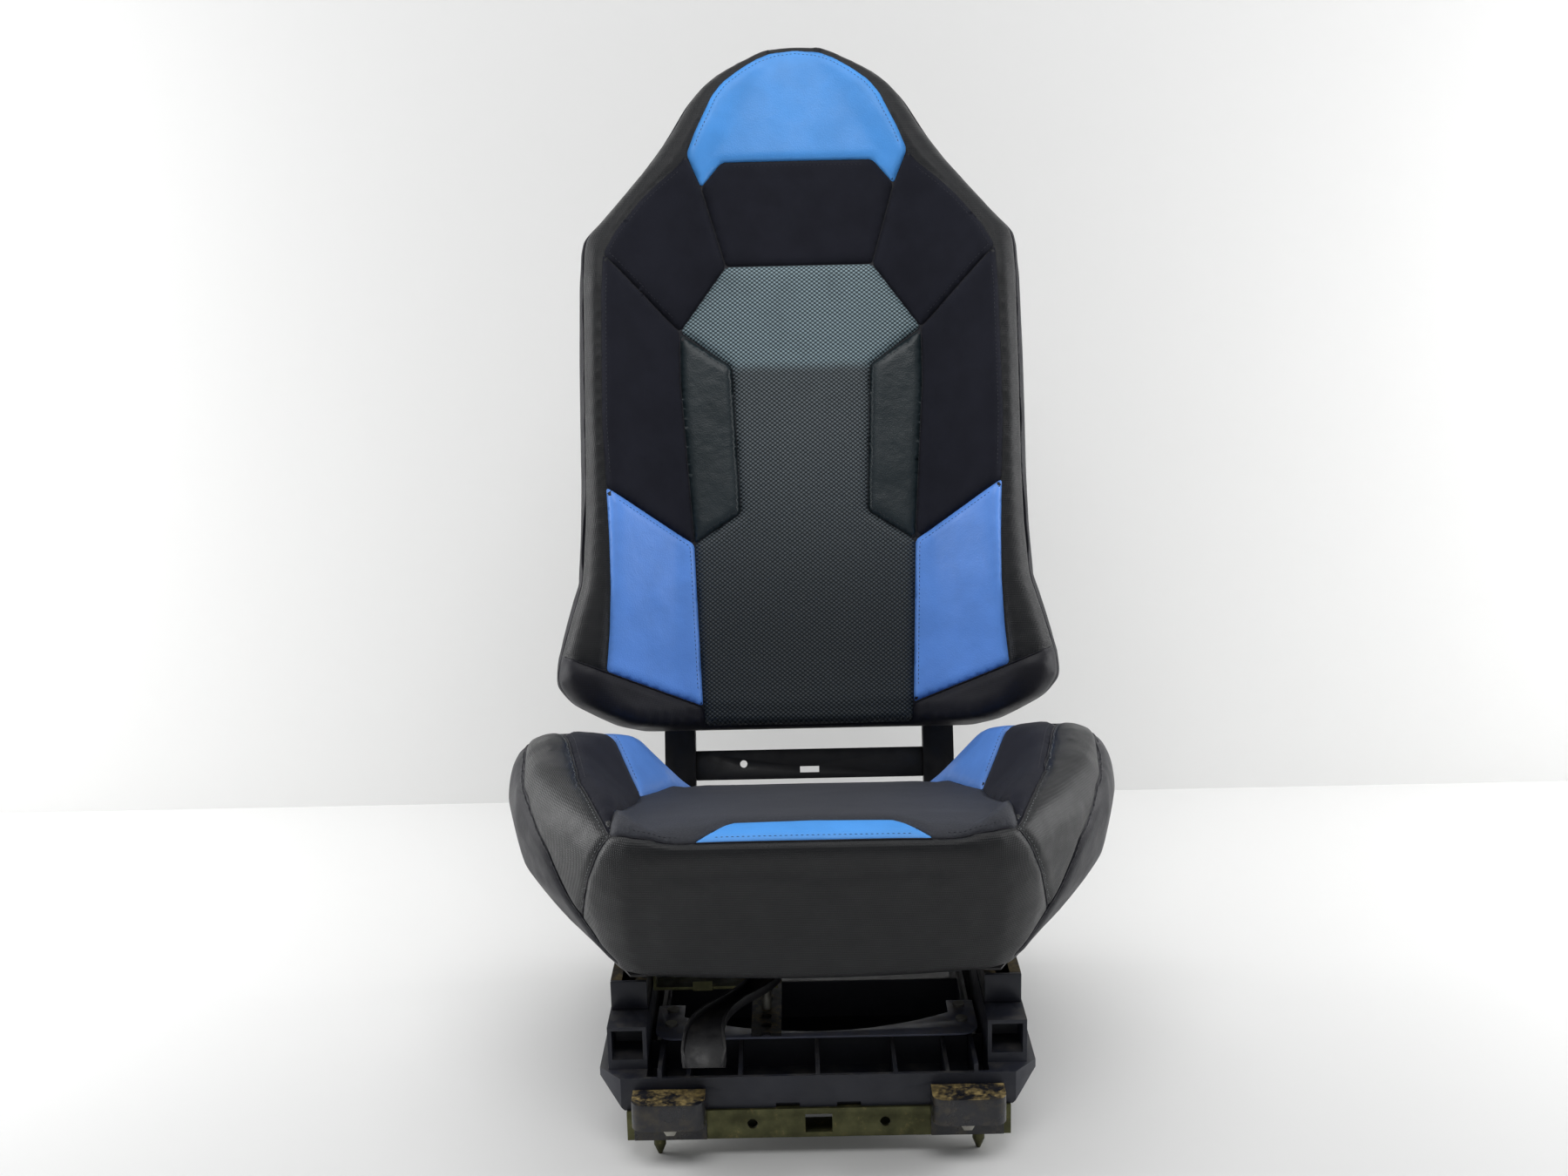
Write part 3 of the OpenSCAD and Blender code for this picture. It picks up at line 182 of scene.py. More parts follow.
class Wire:
    """An output socket of a material. Sums and products of wires add their Math nodes."""

    def __init__(self, graph, socket):
        self.graph = graph
        self.socket = socket

    def math(self, operation, *others):
        return self.graph.node("ShaderNodeMath", {"operation": operation}, [self, *others])

    def __add__(self, other):
        return self.math("ADD", other)

    def __sub__(self, other):
        return self.math("SUBTRACT", other)

    def __rsub__(self, other):
        return self.graph.node("ShaderNodeMath", {"operation": "SUBTRACT"}, [other, self])

    def __mul__(self, other):
        return self.math("MULTIPLY", other)

    def __truediv__(self, other):
        return self.math("DIVIDE", other)

    __radd__ = __add__
    __rmul__ = __mul__


class Graph:
    """A material's nodes, ending in one Principled BSDF."""

    def __init__(self, name):
        self.material = bpy.data.materials.new(name)
        self.material.use_nodes = True
        self.tree = self.material.node_tree
        self.tree.nodes.clear()

    def node(self, kind, settings=None, sockets=(), output=0):
        """Adds a node: its settings first, then its sockets by place or name. Returns one output."""
        made = self.tree.nodes.new(kind)
        for key, value in (settings or {}).items():
            setattr(made, key, value)
        live = [s for s in made.inputs if s.enabled]
        named = {s.name: s for s in live}
        for key, value in sockets.items() if isinstance(sockets, dict) else enumerate(sockets):
            socket = named[key] if isinstance(key, str) else live[key]
            if isinstance(value, Wire):
                self.tree.links.new(value.socket, socket)
            elif hasattr(socket.default_value, "__len__") and len(socket.default_value) == 4:
                socket.default_value = (*value[:3], 1)
            else:
                socket.default_value = value
        return Wire(self, [s for s in made.outputs if s.enabled][output])

    def place(self):
        return self.node("ShaderNodeTexCoord", output=3)

    def parts(self, vector):
        """The x, y and z of a vector."""
        first = self.node("ShaderNodeSeparateXYZ", None, [vector])
        outputs = first.socket.node.outputs
        return [Wire(self, s) for s in outputs]

    def scaled(self, scale):
        return self.node("ShaderNodeMapping", None, {"Vector": self.place(), "Scale": scale})

    def noise(self, size, detail, roughness=0.5, vector=None):
        """Fractal noise from 0 to 1 whose blots measure about size metres."""
        return self.node("ShaderNodeTexNoise", None, {
            "Vector": vector or self.place(), "Scale": 1 / size, "Detail": detail, "Roughness": roughness})

    def cells(self, size):
        """Distance from the nearest of scattered points, size metres apart."""
        return self.node("ShaderNodeTexVoronoi", None, {"Vector": self.place(), "Scale": 1 / size})

    def ramp(self, value, low, high, start=0.0, end=1.0):
        """Smooth step of a value between low and high."""
        return self.node("ShaderNodeMapRange", {"interpolation_type": "SMOOTHSTEP"},
                         [value, low, high, start, end])

    def uneven(self, size, detail, low, high):
        """A value that wanders between low and high."""
        return self.ramp(self.noise(size, detail), 0.3, 0.7, low, high)

    def mix(self, first, second, factor):
        return self.node("ShaderNodeMix", {"data_type": "RGBA"},
                         {"Factor": factor, "A": first, "B": second})

    def mottled(self, base, size, amount, detail=3.0):
        """A colour that wanders between darker and lighter by amount."""
        dark = [c * (1 - amount) for c in base]
        light = [min(1, c * (1 + amount)) for c in base]
        return self.mix(dark, light, self.uneven(size, detail, 0.0, 1.0))

    def bump(self, height, strength, distance, normal=None):
        sockets = {"Strength": strength, "Distance": distance, "Height": height}
        if normal:
            sockets["Normal"] = normal
        return self.node("ShaderNodeBump", None, sockets)

    def upward(self, low=0.4, high=0.9):
        """1 where the surface faces up."""
        normal = self.node("ShaderNodeNewGeometry", output=1)
        return self.ramp(self.parts(normal)[2], low, high)

    def surface(self, **sockets):
        """Joins the Principled BSDF to the output and returns the material."""
        values = {key.replace("_", " ").title().replace("Ior", "IOR"): value
                  for key, value in sockets.items()}
        shader = self.node("ShaderNodeBsdfPrincipled", None, values)
        out = self.tree.nodes.new("ShaderNodeOutputMaterial")
        self.tree.links.new(shader.socket, out.inputs["Surface"])
        return self.material


def dots(graph, u, v):
    """Staggered dots one unit apart: 1 at a dot's middle, 0 between dots."""

    def lattice(shift):
        du = (u + shift).math("FRACT") - 0.5
        dv = (v + shift).math("FRACT") - 0.5
        return (du * du + dv * dv).math("SQRT")

    return graph.ramp(lattice(0.0).math("MINIMUM", lattice(0.5)), 0.16, 0.38, 1.0, 0.0)


def back_plane(graph):
    """Coordinates across and up the back, in metres from its origin."""
    x, y, z = graph.parts(graph.place())
    up = (y - BACK_ORIGIN.y) * BACK_UP.y + (z - BACK_ORIGIN.z) * BACK_UP.z
    return x, up


def lighter(base, share, plus=0.0):
    return [min(1, c * share + plus) for c in base]


def smooth_vinyl(name, base, roughness, fold, scuff=0.0, shine=0.4):
    """Plain vinyl: leather grain over soft folds, with dull scuffs."""
    g = Graph(name)
    shade = g.mottled(base, 0.045, 0.06)
    if scuff:
        shade = g.mix(shade, lighter(base, 1.6, 0.008), g.ramp(g.noise(0.02, 5), 0.56, 0.75) * scuff)
    rough = g.ramp(g.noise(0.03, 3), 0.25, 0.75, roughness - 0.05, roughness + 0.07)
    folds = g.bump(g.noise(0.05, 3), fold, 0.004)
    grain = g.bump(g.cells(0.0016) + g.noise(0.001, 2) * 0.4, 0.22, 0.0006, folds)
    return g.surface(base_color=shade, roughness=rough, normal=grain, specular_ior_level=shine)


def embossed_vinyl(name, base, side=None):
    """Vinyl pressed with a fine diagonal pattern, whose ridges are painted lighter as a sheen. Where side is
    given, the side band is plain in it.
    """
    g = Graph(name)
    x, y, z = g.parts(g.place())
    slant = 2 * math.pi / EMBOSS_PITCH
    first = ((x + y * 0.35 + z * 0.8) * slant).math("SINE")
    second = ((x + y * 0.35 - z * 0.8) * slant).math("SINE")
    emboss = g.ramp(first * second, -0.3, 0.7)
    worn = g.ramp(g.noise(0.035, 4), 0.5, 0.8)
    # Worn patches are mixed lighter, and so are the emboss's ridges, which is a painted sheen
    shade = g.mix(g.mottled(base, 0.05, 0.1), lighter(base, 1.8), worn * 0.3 + emboss * 0.2)
    rough = g.uneven(0.02, 3, 0.36, 0.46)
    if side:
        band = g.node("ShaderNodeAttribute", {"attribute_name": "side_band"}, output=2)
        band = g.ramp(band, -0.0005, 0.0005)
        shade = g.mix(shade, g.mottled(side, 0.03, 0.1), band)
        rough = rough + band * 0.12
        emboss = emboss * (1 - band * 0.8)
    folds = g.bump(g.noise(0.06, 3), 0.35, 0.004)
    grain = g.bump(emboss + g.noise(0.0011, 2) * 0.4, 0.45, 0.0006, folds)
    return g.surface(base_color=shade, roughness=rough, normal=grain, specular_ior_level=0.3)


def cloth(name, base):
    """Fine knitted cloth with a soft sheen."""
    g = Graph(name)
    x, y, z = g.parts(g.place())
    turn = 2 * math.pi / WEAVE_PITCH
    rows = (x * turn).math("SINE") * ((z + y * 0.6) * turn).math("SINE")
    weave = g.ramp(rows + g.noise(WEAVE_PITCH * 1.4, 2) * 0.8, -0.4, 1.1)
    shade = g.mix(g.mottled(base, 0.035, 0.12, 5), lighter(base, 1.7, 0.002), weave * 0.25)
    grain = g.bump(weave, 0.35, 0.0004, g.bump(g.noise(0.04, 3), 0.3, 0.003))
    return g.surface(base_color=shade, roughness=0.85, normal=grain, sheen_weight=0.04, sheen_roughness=0.4,
                     specular_ior_level=0.12)


def dotted_vinyl(name):
    """Vinyl with staggered raised dots, with a painted highlight on their tops and painted shade between
    them, a painted sheen on the upper part, and darker towards the bottom.
    """
    g = Graph(name)
    c = colours()
    x, up = back_plane(g)
    raised = dots(g, x / DOT_PITCH[0], up / DOT_PITCH[1])
    # Where the painted sheen of the upper part begins
    upper = g.ramp(up + g.noise(0.05, 2) * 0.006, 0.408, 0.424)
    # Dot tops: a painted highlight, darker towards the bottom, with the painted sheen above the line
    tops = g.mix(g.mix(lighter(c.dot_low, 0.35), c.dot_low, g.ramp(up, 0.08, 0.36)), c.lit_dot_top, upper)
    tops = g.mix(tops, lighter(c.dot_low, 0.5), g.ramp(g.noise(0.05, 4), 0.5, 0.75) * 0.18)
    # Ground between the dots: painted shade, lighter under the painted sheen above the line
    ground = g.mix(lighter(c.dot_gap, 0.35), c.dot_gap, upper)
    shade = g.mix(ground, tops, raised)
    rough = g.ramp(raised, 0.0, 1.0, 0.55, 0.38)
    return g.surface(base_color=shade, roughness=rough, normal=g.bump(raised, 0.6, 0.001),
                     specular_ior_level=0.35)


def seat_cloth(name, base):
    """Grained cushion cloth."""
    g = Graph(name)
    grain = g.cells(0.0021) + g.noise(0.0012, 2) * 0.6
    shade = g.mix(g.mottled(base, 0.05, 0.1, 4), lighter(base, 0.5), g.ramp(grain, 0.35, 0.9) * 0.5)
    normal = g.bump(grain, 0.45, 0.0005, g.bump(g.noise(0.06, 2), 0.3, 0.004))
    return g.surface(base_color=shade, roughness=0.66, normal=normal, sheen_weight=0.03,
                     specular_ior_level=0.25)


def moulded(name, base, dusty):
    """Grained plastic with dust on its upward faces and faint scuffs."""
    g = Graph(name)
    dust = g.upward() * g.ramp(g.noise(0.03, 5, 0.65), 0.4, 0.72) * dusty
    scuff = g.ramp(g.noise(0.006, 4, 0.6, g.scaled((1, 1, 4))), 0.62, 0.8) * 0.3
    shade = g.mix(g.mottled(base, 0.04, 0.1), colours().dust[:], dust + scuff * 0.25)
    rough = g.uneven(0.015, 4, 0.36, 0.52)
    return g.surface(base_color=shade, roughness=rough, normal=g.bump(g.noise(0.0009, 2), 0.25, 0.0004),
                     specular_ior_level=0.4)


def painted(name, base, rust=0.0, dusty=0.3, roughness=0.45):
    """Painted sheet steel. Rust comes through on its upward faces first."""
    g = Graph(name)
    shade = g.mottled(base, 0.03, 0.12, 4)
    shade = g.mix(shade, colours().dust[:], g.upward() * g.ramp(g.noise(0.02, 5), 0.45, 0.75) * dusty)
    rough = g.uneven(0.012, 4, roughness - 0.06, roughness + 0.12)
    if rust:
        spread = g.ramp(g.noise(0.016, 6, 0.7), 0.42, 0.62) * (g.upward(0.2, 0.8) * 0.9 + 0.08) * rust
        shade = g.mix(shade, g.mottled(colours().rust[:], 0.006, 0.45, 5), spread)
        rough = rough + spread * 0.35
    height = g.noise(0.0016, 3) + g.noise(0.012, 3) * 0.5
    return g.surface(base_color=shade, roughness=rough, normal=g.bump(height, 0.22, 0.0004))


def plated(name, base, rust=0.25, roughness=0.42):
    """Zinc plating that has gone cloudy, with rust spots."""
    g = Graph(name)
    cloud = g.mottled(base, 0.018, 0.3, 5)
    spots = g.ramp(g.noise(0.009, 6, 0.7), 0.57, 0.7) * rust
    shade = g.mix(cloud, g.mottled(colours().rust[:], 0.004, 0.4, 4), spots)
    rough = g.uneven(0.01, 5, roughness - 0.08, roughness + 0.16) + spots * 0.3
    return g.surface(base_color=shade, roughness=rough, metallic=g.ramp(spots, 0.1, 0.6, 0.8, 0.1),
                     normal=g.bump(g.noise(0.002, 4), 0.18, 0.0003))


def bright_edge(name, base):
    """Bare steel where paint has worn off an edge."""
    g = Graph(name)
    bare = g.ramp(g.noise(0.006, 5, 0.65), 0.42, 0.58)
    shade = g.mix(colours().black_paint[:], g.mottled(base, 0.003, 0.25), bare)
    return g.surface(base_color=shade, roughness=g.uneven(0.004, 3, 0.3, 0.5), metallic=bare * 0.85,
                     normal=g.bump(g.noise(0.001, 2), 0.2, 0.0002))


def soft_plain(name, base, roughness, grain=0.0015):
    g = Graph(name)
    shade = g.mottled(base, 0.02, 0.1, 4)
    return g.surface(base_color=shade, roughness=roughness, normal=g.bump(g.noise(grain, 3), 0.25, 0.0004))


def backdrop_paper(name, base):
    """Pale paper, as matt as can be, that can be looked through from its back."""
    g = Graph(name)
    shade = g.mottled(base, 1.2, 0.012, 1)
    rough = g.uneven(0.3, 2, 0.75, 0.85)
    from_behind = g.node("ShaderNodeNewGeometry", output=6)
    return g.surface(base_color=shade, roughness=rough, alpha=1 - from_behind, specular_ior_level=0.15)


MAKERS = {
    "blue": lambda c: smooth_vinyl("blue_vinyl", c.blue, 0.42, 0.3),
    "deep_blue": lambda c: smooth_vinyl("bolster_vinyl", c.deep_blue, 0.38, 0.4),
    # The rear patches get the bolster blue darkened to 0.7: painted shade from the back over them
    "shaded_rear_blue": lambda c: smooth_vinyl("shaded_rear_patch_vinyl", lighter(c.deep_blue, 0.7), 0.38, 0.4),
    "cloth": lambda c: cloth("black_cloth", c.cloth),
    "rim": lambda c: embossed_vinyl("rim_vinyl", c.rim, c.side),
    "cushion_vinyl": lambda c: embossed_vinyl("cushion_vinyl", c.rim),
    "side_vinyl": lambda c: smooth_vinyl("side_vinyl", c.side, 0.45, 0.4, 0.4, 0.18),
    "inset": lambda c: smooth_vinyl("inset_vinyl", c.inset, 0.38, 0.7),
    "dotted": lambda c: dotted_vinyl("dotted_vinyl"),
    "seat": lambda c: seat_cloth("seat_cloth", c.seat),
    "thread": lambda c: soft_plain("thread", c.thread, 0.6, 0.0006),
    "pale_thread": lambda c: soft_plain("pale_thread", c.pale_thread, 0.6, 0.0006),
    "plastic": lambda c: moulded("moulded_plastic", c.plastic, 0.3),
    "shell": lambda c: moulded("shell_plastic", lighter(c.plastic, 0.7), 0.2),
    "zinc": lambda c: plated("olive_zinc", c.zinc),
    "steel": lambda c: plated("bright_zinc", c.steel, 0.12, 0.36),
    "black_paint": lambda c: painted("black_paint", c.black_paint, dusty=0.15),
    "rail_paint": lambda c: painted("rail_paint", c.black_paint, 0.25, 0.3, 0.5),
    "hook_paint": lambda c: painted("hook_paint", c.hook_paint, 0.7, 0.3, 0.3),
    # The plate's pale colour is a painted reflection on dark steel
    "plate_paint": lambda c: painted("plate_paint", c.plate_paint, 0.15, 0.3, 0.4),
    "bare_edge": lambda c: bright_edge("bare_edge", c.steel),
    "glide": lambda c: soft_plain("glide_plastic", c.glide, 0.4),
    "rubber": lambda c: soft_plain("rubber", c.rubber, 0.75),
}
SLOT_FINISH = {
    "tray_plastic": "plastic", "shell_plastic": "shell", "glide_plastic": "glide", "plated_steel": "zinc",
    "fastener_steel": "steel", "hook_paint": "hook_paint", "plate_paint": "plate_paint",
    "rail_paint": "rail_paint", "frame_paint": "black_paint", "lever_paint": "black_paint",
    "buffer_rubber": "rubber", "foam": "glide", "cushion_skin": "cushion_vinyl", "back_skin": "rim",
}
finishes = {}


def finish(name):
    """The material of that finish, made once."""
    if name not in finishes:
        finishes[name] = MAKERS[name](colours())
    return finishes[name]


# ---------------------------------------------------------------- meshes


def add_piece(name, mesh, *finish_names):
    piece = bpy.data.objects.new(name, mesh)
    bpy.context.scene.collection.objects.link(piece)
    mesh.materials.clear()
    for each in finish_names:
        mesh.materials.append(finish(each))
    return piece


def mesh_from(name, points, faces, smooth=True):
    mesh = bpy.data.meshes.new(name)
    mesh.from_pydata([tuple(p) for p in points], [], [tuple(f) for f in faces])
    mesh.validate()
    mesh.polygons.foreach_set("use_smooth", [smooth] * len(mesh.polygons))
    return mesh


def apply_modifiers(piece):
    graph = bpy.context.evaluated_depsgraph_get()
    mesh = bpy.data.meshes.new_from_object(piece.evaluated_get(graph))
    piece.modifiers.clear()
    piece.data = mesh


def modify(piece, kind, **settings):
    made = piece.modifiers.new(kind.title(), kind)
    for key, value in settings.items():
        setattr(made, key, value)
    return made


def vertex_points(mesh):
    points = np.empty(len(mesh.vertices) * 3)
    mesh.vertices.foreach_get("co", points)
    return points.reshape(-1, 3)


def vertex_normals(mesh):
    normals = np.empty(len(mesh.vertices) * 3)
    mesh.vertex_normals.foreach_get("vector", normals)
    return normals.reshape(-1, 3)


def move_vertices(mesh, points):
    mesh.vertices.foreach_set("co", np.asarray(points).ravel())
    mesh.update()


def stacked(vectors):
    """Vectors as the rows of one array."""
    return np.array([tuple(v) for v in vectors])


def surface_of(piece):
    graph = bpy.context.evaluated_depsgraph_get()
    return BVHTree.FromObject(piece, graph)


def back_point(across, up, out):
    """A point of the back's own axes, given in millimetres."""
    return BACK_ORIGIN + (Vector((across, 0, 0)) + BACK_UP * up + BACK_OUT * out) * MM


def back_ray(across, up):
    """Near which point, and in which direction, a point of the back's patterns meets its pad."""
    return back_point(across, up, 10), -BACK_OUT


def top_ray(across, along):
    return Vector((across, along, 300)) * MM, Vector((0, 0, -1))


def side_ray(hand):
    """Rays towards the middle from the right (1) or the left (-1), over along and height."""
    return lambda along, height: (Vector((hand * 285, along, height)) * MM, Vector((-hand, 0, 0)))


def whole(half):
    """A closed outline from its right half, which runs from the middle line round to it again."""
    return list(half) + [(-x, y) for x, y in reversed(half) if abs(x) > 1e-6]


def spaced(points, step, closed=False):
    """The same line with points about step apart. Corners are kept."""
    points = [np.asarray(p, float) for p in points]
    ends = points[1:] + points[:1] if closed else points[1:]
    out = []
    for a, b in zip(points, ends):
        count = max(1, round(np.linalg.norm(b - a) / step))
        out += [a + (b - a) * i / count for i in range(count)]
    if not closed:
        out.append(points[-1])
    return np.array(out)


def softened(points, closed=False):
    """The same line with each corner cut twice, so that it turns more softly."""
    points = [np.asarray(p, float) for p in points]
    for cut in (CORNER_REACH, CORNER_REACH * 0.4):
        pairs = zip(points, points[1:] + points[:1] if closed else points[1:])
        turns = []
        for a, b in pairs:
            share = min(0.3, cut / np.linalg.norm(b - a))
            turns += [a + (b - a) * share, b + (a - b) * share]
        points = turns if closed else [points[0], *turns[1:-1], points[-1]]
    return points


def inside(outline, points):
    """Whether each point lies inside a closed outline."""
    found = np.zeros(len(points), bool)
    for (x0, y0), (x1, y1) in zip(outline, np.roll(outline, -1, axis=0)):
        if y0 != y1:
            crosses = (y0 > points[:, 1]) != (y1 > points[:, 1])
            found ^= crosses & (points[:, 0] < (x1 - x0) * (points[:, 1] - y0) / (y1 - y0) + x0)
    return found


def border_distance(outline, points):
    """Distance of each point from a closed outline."""
    best = np.full(len(points), 1e9)
    for a, b in zip(outline, np.roll(outline, -1, axis=0)):
        run = b - a
        share = np.clip(((points - a) @ run) / max(run @ run, 1e-9), 0, 1)
        best = np.minimum(best, np.linalg.norm(points - a - share[:, None] * run, axis=1))
    return best


def drawn_in(loop, reach):
    """A closed line moved inwards."""
    along = np.roll(loop, -1, axis=0) - np.roll(loop, 1, axis=0)
    across = np.column_stack([-along[:, 1], along[:, 0]]) / np.linalg.norm(along, axis=1)[:, None]
    ahead = np.roll(loop, -1, axis=0)
    turn = np.sign((loop[:, 0] * ahead[:, 1] - loop[:, 1] * ahead[:, 0]).sum())
    return loop + across * turn * reach


def meet(tree, near, direction):
    """Where a ray meets a surface, or the surface's nearest point where it misses."""
    place, normal, _, _ = tree.ray_cast(near - direction * RAY_LEAD, direction, RAY_REACH)
    if place is None:
        place, normal, _, _ = tree.find_nearest(near)
    return place, normal


def sewn_panel(name, outline, ray, tree, finish_name):
    """A cover panel cut to an outline and laid on a pad, with its edges turned under."""
    s = sewing()
    step = s.panel_grid / MM
    border = drawn_in(spaced(softened(outline, closed=True), step * 0.45, closed=True), s.panel_gap / MM / 2)
    low, high = border.min(0), border.max(0)
    rows = np.arange(low[1], high[1], step * 0.866)
    grid = np.array([(x + (step / 2 if i % 2 else 0), y)
                     for i, y in enumerate(rows) for x in np.arange(low[0], high[0], step)])
    grid = grid[inside(border, grid)]
    grid = grid[border_distance(border, grid) > step * 0.6]
    flat = np.vstack([border, grid])
    count = len(border)
    edges = [(i, (i + 1) % count) for i in range(count)]
    points, _, faces, _, _, _ = delaunay_2d_cdt([Vector(p) for p in flat], edges, [], 0, 1e-4)
    flat = stacked(points)
    centres = np.array([flat[list(f)].mean(0) for f in faces])
    faces = [f for f, keep in zip(faces, inside(border, centres)) if keep]
    height = s.panel_edge + (s.panel_lift - s.panel_edge) * (1 - np.exp(-border_distance(border, flat) / 2.2))
    met = [meet(tree, *ray(u, v)) for u, v in flat]
    laid = [place + normal * h for (place, normal), h in zip(met, height)]
    # The edge is turned under: each open side gets a strip down into the pad
    sides = {(f[i - 1], f[i]) for f in faces for i in range(len(f))}
    under = {}
    for i, j in sorted(side for side in sides if side[::-1] not in sides):
        for k in (i, j):
            if k not in under:
                under[k] = len(laid)
                laid.append(met[k][0] - met[k][1] * s.panel_tuck)
        faces.append((j, i, under[i], under[j]))
    mesh = mesh_from(name, laid, faces)
    if sum((p.normal * p.area for p in mesh.polygons), Vector()).dot(ray(*flat.mean(0))[1]) > 0:
        mesh.flip_normals()
    return add_piece(name, mesh, finish_name)


def laid_line(points, ray, tree, step=3.0):
    """A seam line in a pattern's plane, laid on a surface: its points and their normals."""
    met = [meet(tree, *ray(u, v)) for u, v in spaced(points, step)]
    return [p for p, _ in met], [n for _, n in met]


def snapped_line(points, tree, step=3.0):
    """A seam line given in space, moved to the nearest points of a surface."""
    met = [tree.find_nearest(Vector(p) * MM) for p in spaced(softened(points), step)]
    return [m[0] for m in met], [m[1] for m in met]


def evened(points, rounds):
    """A line with its points averaged with their neighbours a number of times."""
    for _ in range(rounds):
        points[1:-1] = (points[:-2] + 2 * points[1:-1] + points[2:]) / 4
    return points


def beside(points, normals, tree, away):
    """A seam line moved sideways over a surface."""
    points, normals = stacked(points), stacked(normals)
    side = np.cross(np.gradient(points, axis=0), normals)
    side *= away / np.linalg.norm(side, axis=1)[:, None]
    met = [tree.find_nearest(Vector(p)) for p in points + side]
    return [m[0] for m in met], [m[1] for m in met]


def pull_seams(piece, lines, depth, width):
    """Pulls a cover in along its seams, as a valley."""
    mesh = piece.data
    seam = [p for line in lines for p in line]
    tree = KDTree(len(seam))
    for i, p in enumerate(seam):
        tree.insert(p, i)
    tree.balance()
    points, normals = vertex_points(mesh), vertex_normals(mesh)
    away = np.array([tree.find(p)[2] for p in points])
    share = np.clip(1 - away / width, 0, 1)
    move_vertices(mesh, points - normals * (depth * share ** 2)[:, None])


def welt(name, points, normals, radius, finish_name):
    """A folded welt along a seam, half sunk in the cover."""
    sides = WELT_SIDES
    points = evened(stacked(points), 3)
    normals = stacked(normals)
    along = np.gradient(points, axis=0)
    along /= np.linalg.norm(along, axis=1)[:, None]
    normals -= along * (normals * along).sum(1)[:, None]
    normals /= np.linalg.norm(normals, axis=1)[:, None]
    across = np.cross(along, normals)
    rings = []
    for i, point in enumerate(points):
        thick = radius * min(1, 0.25 + 0.75 * min(i, len(points) - 1 - i) / 3)
        for k in range(sides):
            angle = 2 * math.pi * k / sides
            rings.append(point + normals[i] * radius * 0.15
                         + thick * (math.cos(angle) * across[i] + math.sin(angle) * normals[i]))
    faces = []
    for first in range(0, (len(points) - 1) * sides, sides):
        for k in range(sides):
            after = first + (k + 1) % sides
            faces.append((first + k, after, after + sides, first + sides + k))
    faces += [tuple(range(sides)), tuple(range(len(rings) - 1, len(rings) - sides - 1, -1))]
    return add_piece(name, mesh_from(name, rings, faces), finish_name)


def stitches(name, lines, finish_name="thread"):
    """Top stitching as separate short threads along lines of points and normals."""
    s = sewing()
    points, faces = [], []
    for line, normals in lines:
        line = stacked(line)
        reach = np.concatenate([[0], np.cumsum(np.linalg.norm(np.diff(line, axis=0), axis=1))])
        for start in np.arange(s.stitch_pitch / 2, reach[-1] - s.stitch_length, s.stitch_pitch):
            a = Vector([np.interp(start, reach, line[:, k]) for k in range(3)])
            b = Vector([np.interp(start + s.stitch_length, reach, line[:, k]) for k in range(3)])
            out = Vector(normals[min(int(np.searchsorted(reach, start)), len(normals) - 1)]).normalized()
            side = out.cross(b - a).normalized() * s.stitch_width / 2
            middle = (a + b) / 2
            first = len(points)
            points += [a, middle + side, b, middle - side, middle + out * s.stitch_width * 0.6]
            faces += [(first, first + 1, first + 4), (first + 1, first + 2, first + 4),
                      (first + 2, first + 3, first + 4), (first + 3, first, first + 4),
                      (first + 3, first + 2, first + 1, first)]
    return add_piece(name, mesh_from(name, points, faces, smooth=False), finish_name)


def hem(outline, start, end, inset):
    """The stretch of an outline from one of its corners on to another, moved inwards and cut short."""
    first, last = outline.index(start), outline.index(end)
    line = spaced(outline[first:last + 1] if last > first else outline[first:] + outline[:last + 1], 2.0)
    along = np.gradient(line, axis=0)
    across = np.column_stack([-along[:, 1], along[:, 0]]) / np.linalg.norm(along, axis=1)[:, None]
    border = np.array(outline, float)
    middle = len(line) // 2
    turn = 1 if inside(border, line[middle:middle + 1] + across[middle])[0] else -1
    moved = line + across * turn * inset
    return moved[inside(border, moved) & (border_distance(border, moved) > inset * 0.95)][4:-4]


# ---------------------------------------------------------------- pads


def pad_skin(name, node, finish_name, resting, worn):
    """A pad's cover: the foam's form remeshed, worn in, then swollen by its filling.

    Points that rest on the frame stay put.
    """
    s = sewing()
    piece = add_piece(name, frame["nodes"][node].data.copy(), finish_name)
    modify(piece, "REMESH", mode="VOXEL", voxel_size=s.grid, use_smooth_shade=True)
    modify(piece, "SMOOTH", factor=0.5, iterations=2)
    apply_modifiers(piece)
    start = vertex_points(piece.data)
    held = resting(start)
    start = start + worn(start)
    move_vertices(piece.data, start)
    outward = vertex_normals(piece.data)
    rise = s.swell
    rise = np.clip(((swollen(piece, held, s) - start) * outward).sum(1), 0, s.swell)
    move_vertices(piece.data, start + outward * np.where(held, 0, s.wadding + rise / 2)[:, None])
    modify(piece, "SMOOTH", factor=0.5, iterations=2)
    modify(piece, "SUBSURF", levels=1, render_levels=1)
    apply_modifiers(piece)
    piece.data.polygons.foreach_set("use_smooth", [True] * len(piece.data.polygons))
    piece.data.materials.clear()
    piece.data.materials.append(finish(finish_name))
    return piece


def swollen(piece, held, s):
    """The points of a pad after cloth under pressure has settled."""
    group = piece.vertex_groups.new(name="held")
    group.add([int(i) for i in np.flatnonzero(held)], 1.0, "REPLACE")
    made = modify(piece, "CLOTH")
    made.settings.use_pressure = True
    made.settings.uniform_pressure_force = s.pressure
    made.settings.vertex_group_mass = "held"
    made.settings.effector_weights.gravity = 0
    made.settings.quality = 4
    made.collision_settings.use_collision = False
    made.collision_settings.use_self_collision = False
    made.point_cache.frame_end = s.steps
    scene = bpy.context.scene
    for step in range(1, s.steps + 1):
        scene.frame_set(step)
    graph = bpy.context.evaluated_depsgraph_get()
    out = vertex_points(piece.evaluated_get(graph).data)
    piece.modifiers.clear()
    piece.vertex_groups.clear()
    scene.frame_set(1)
    return out


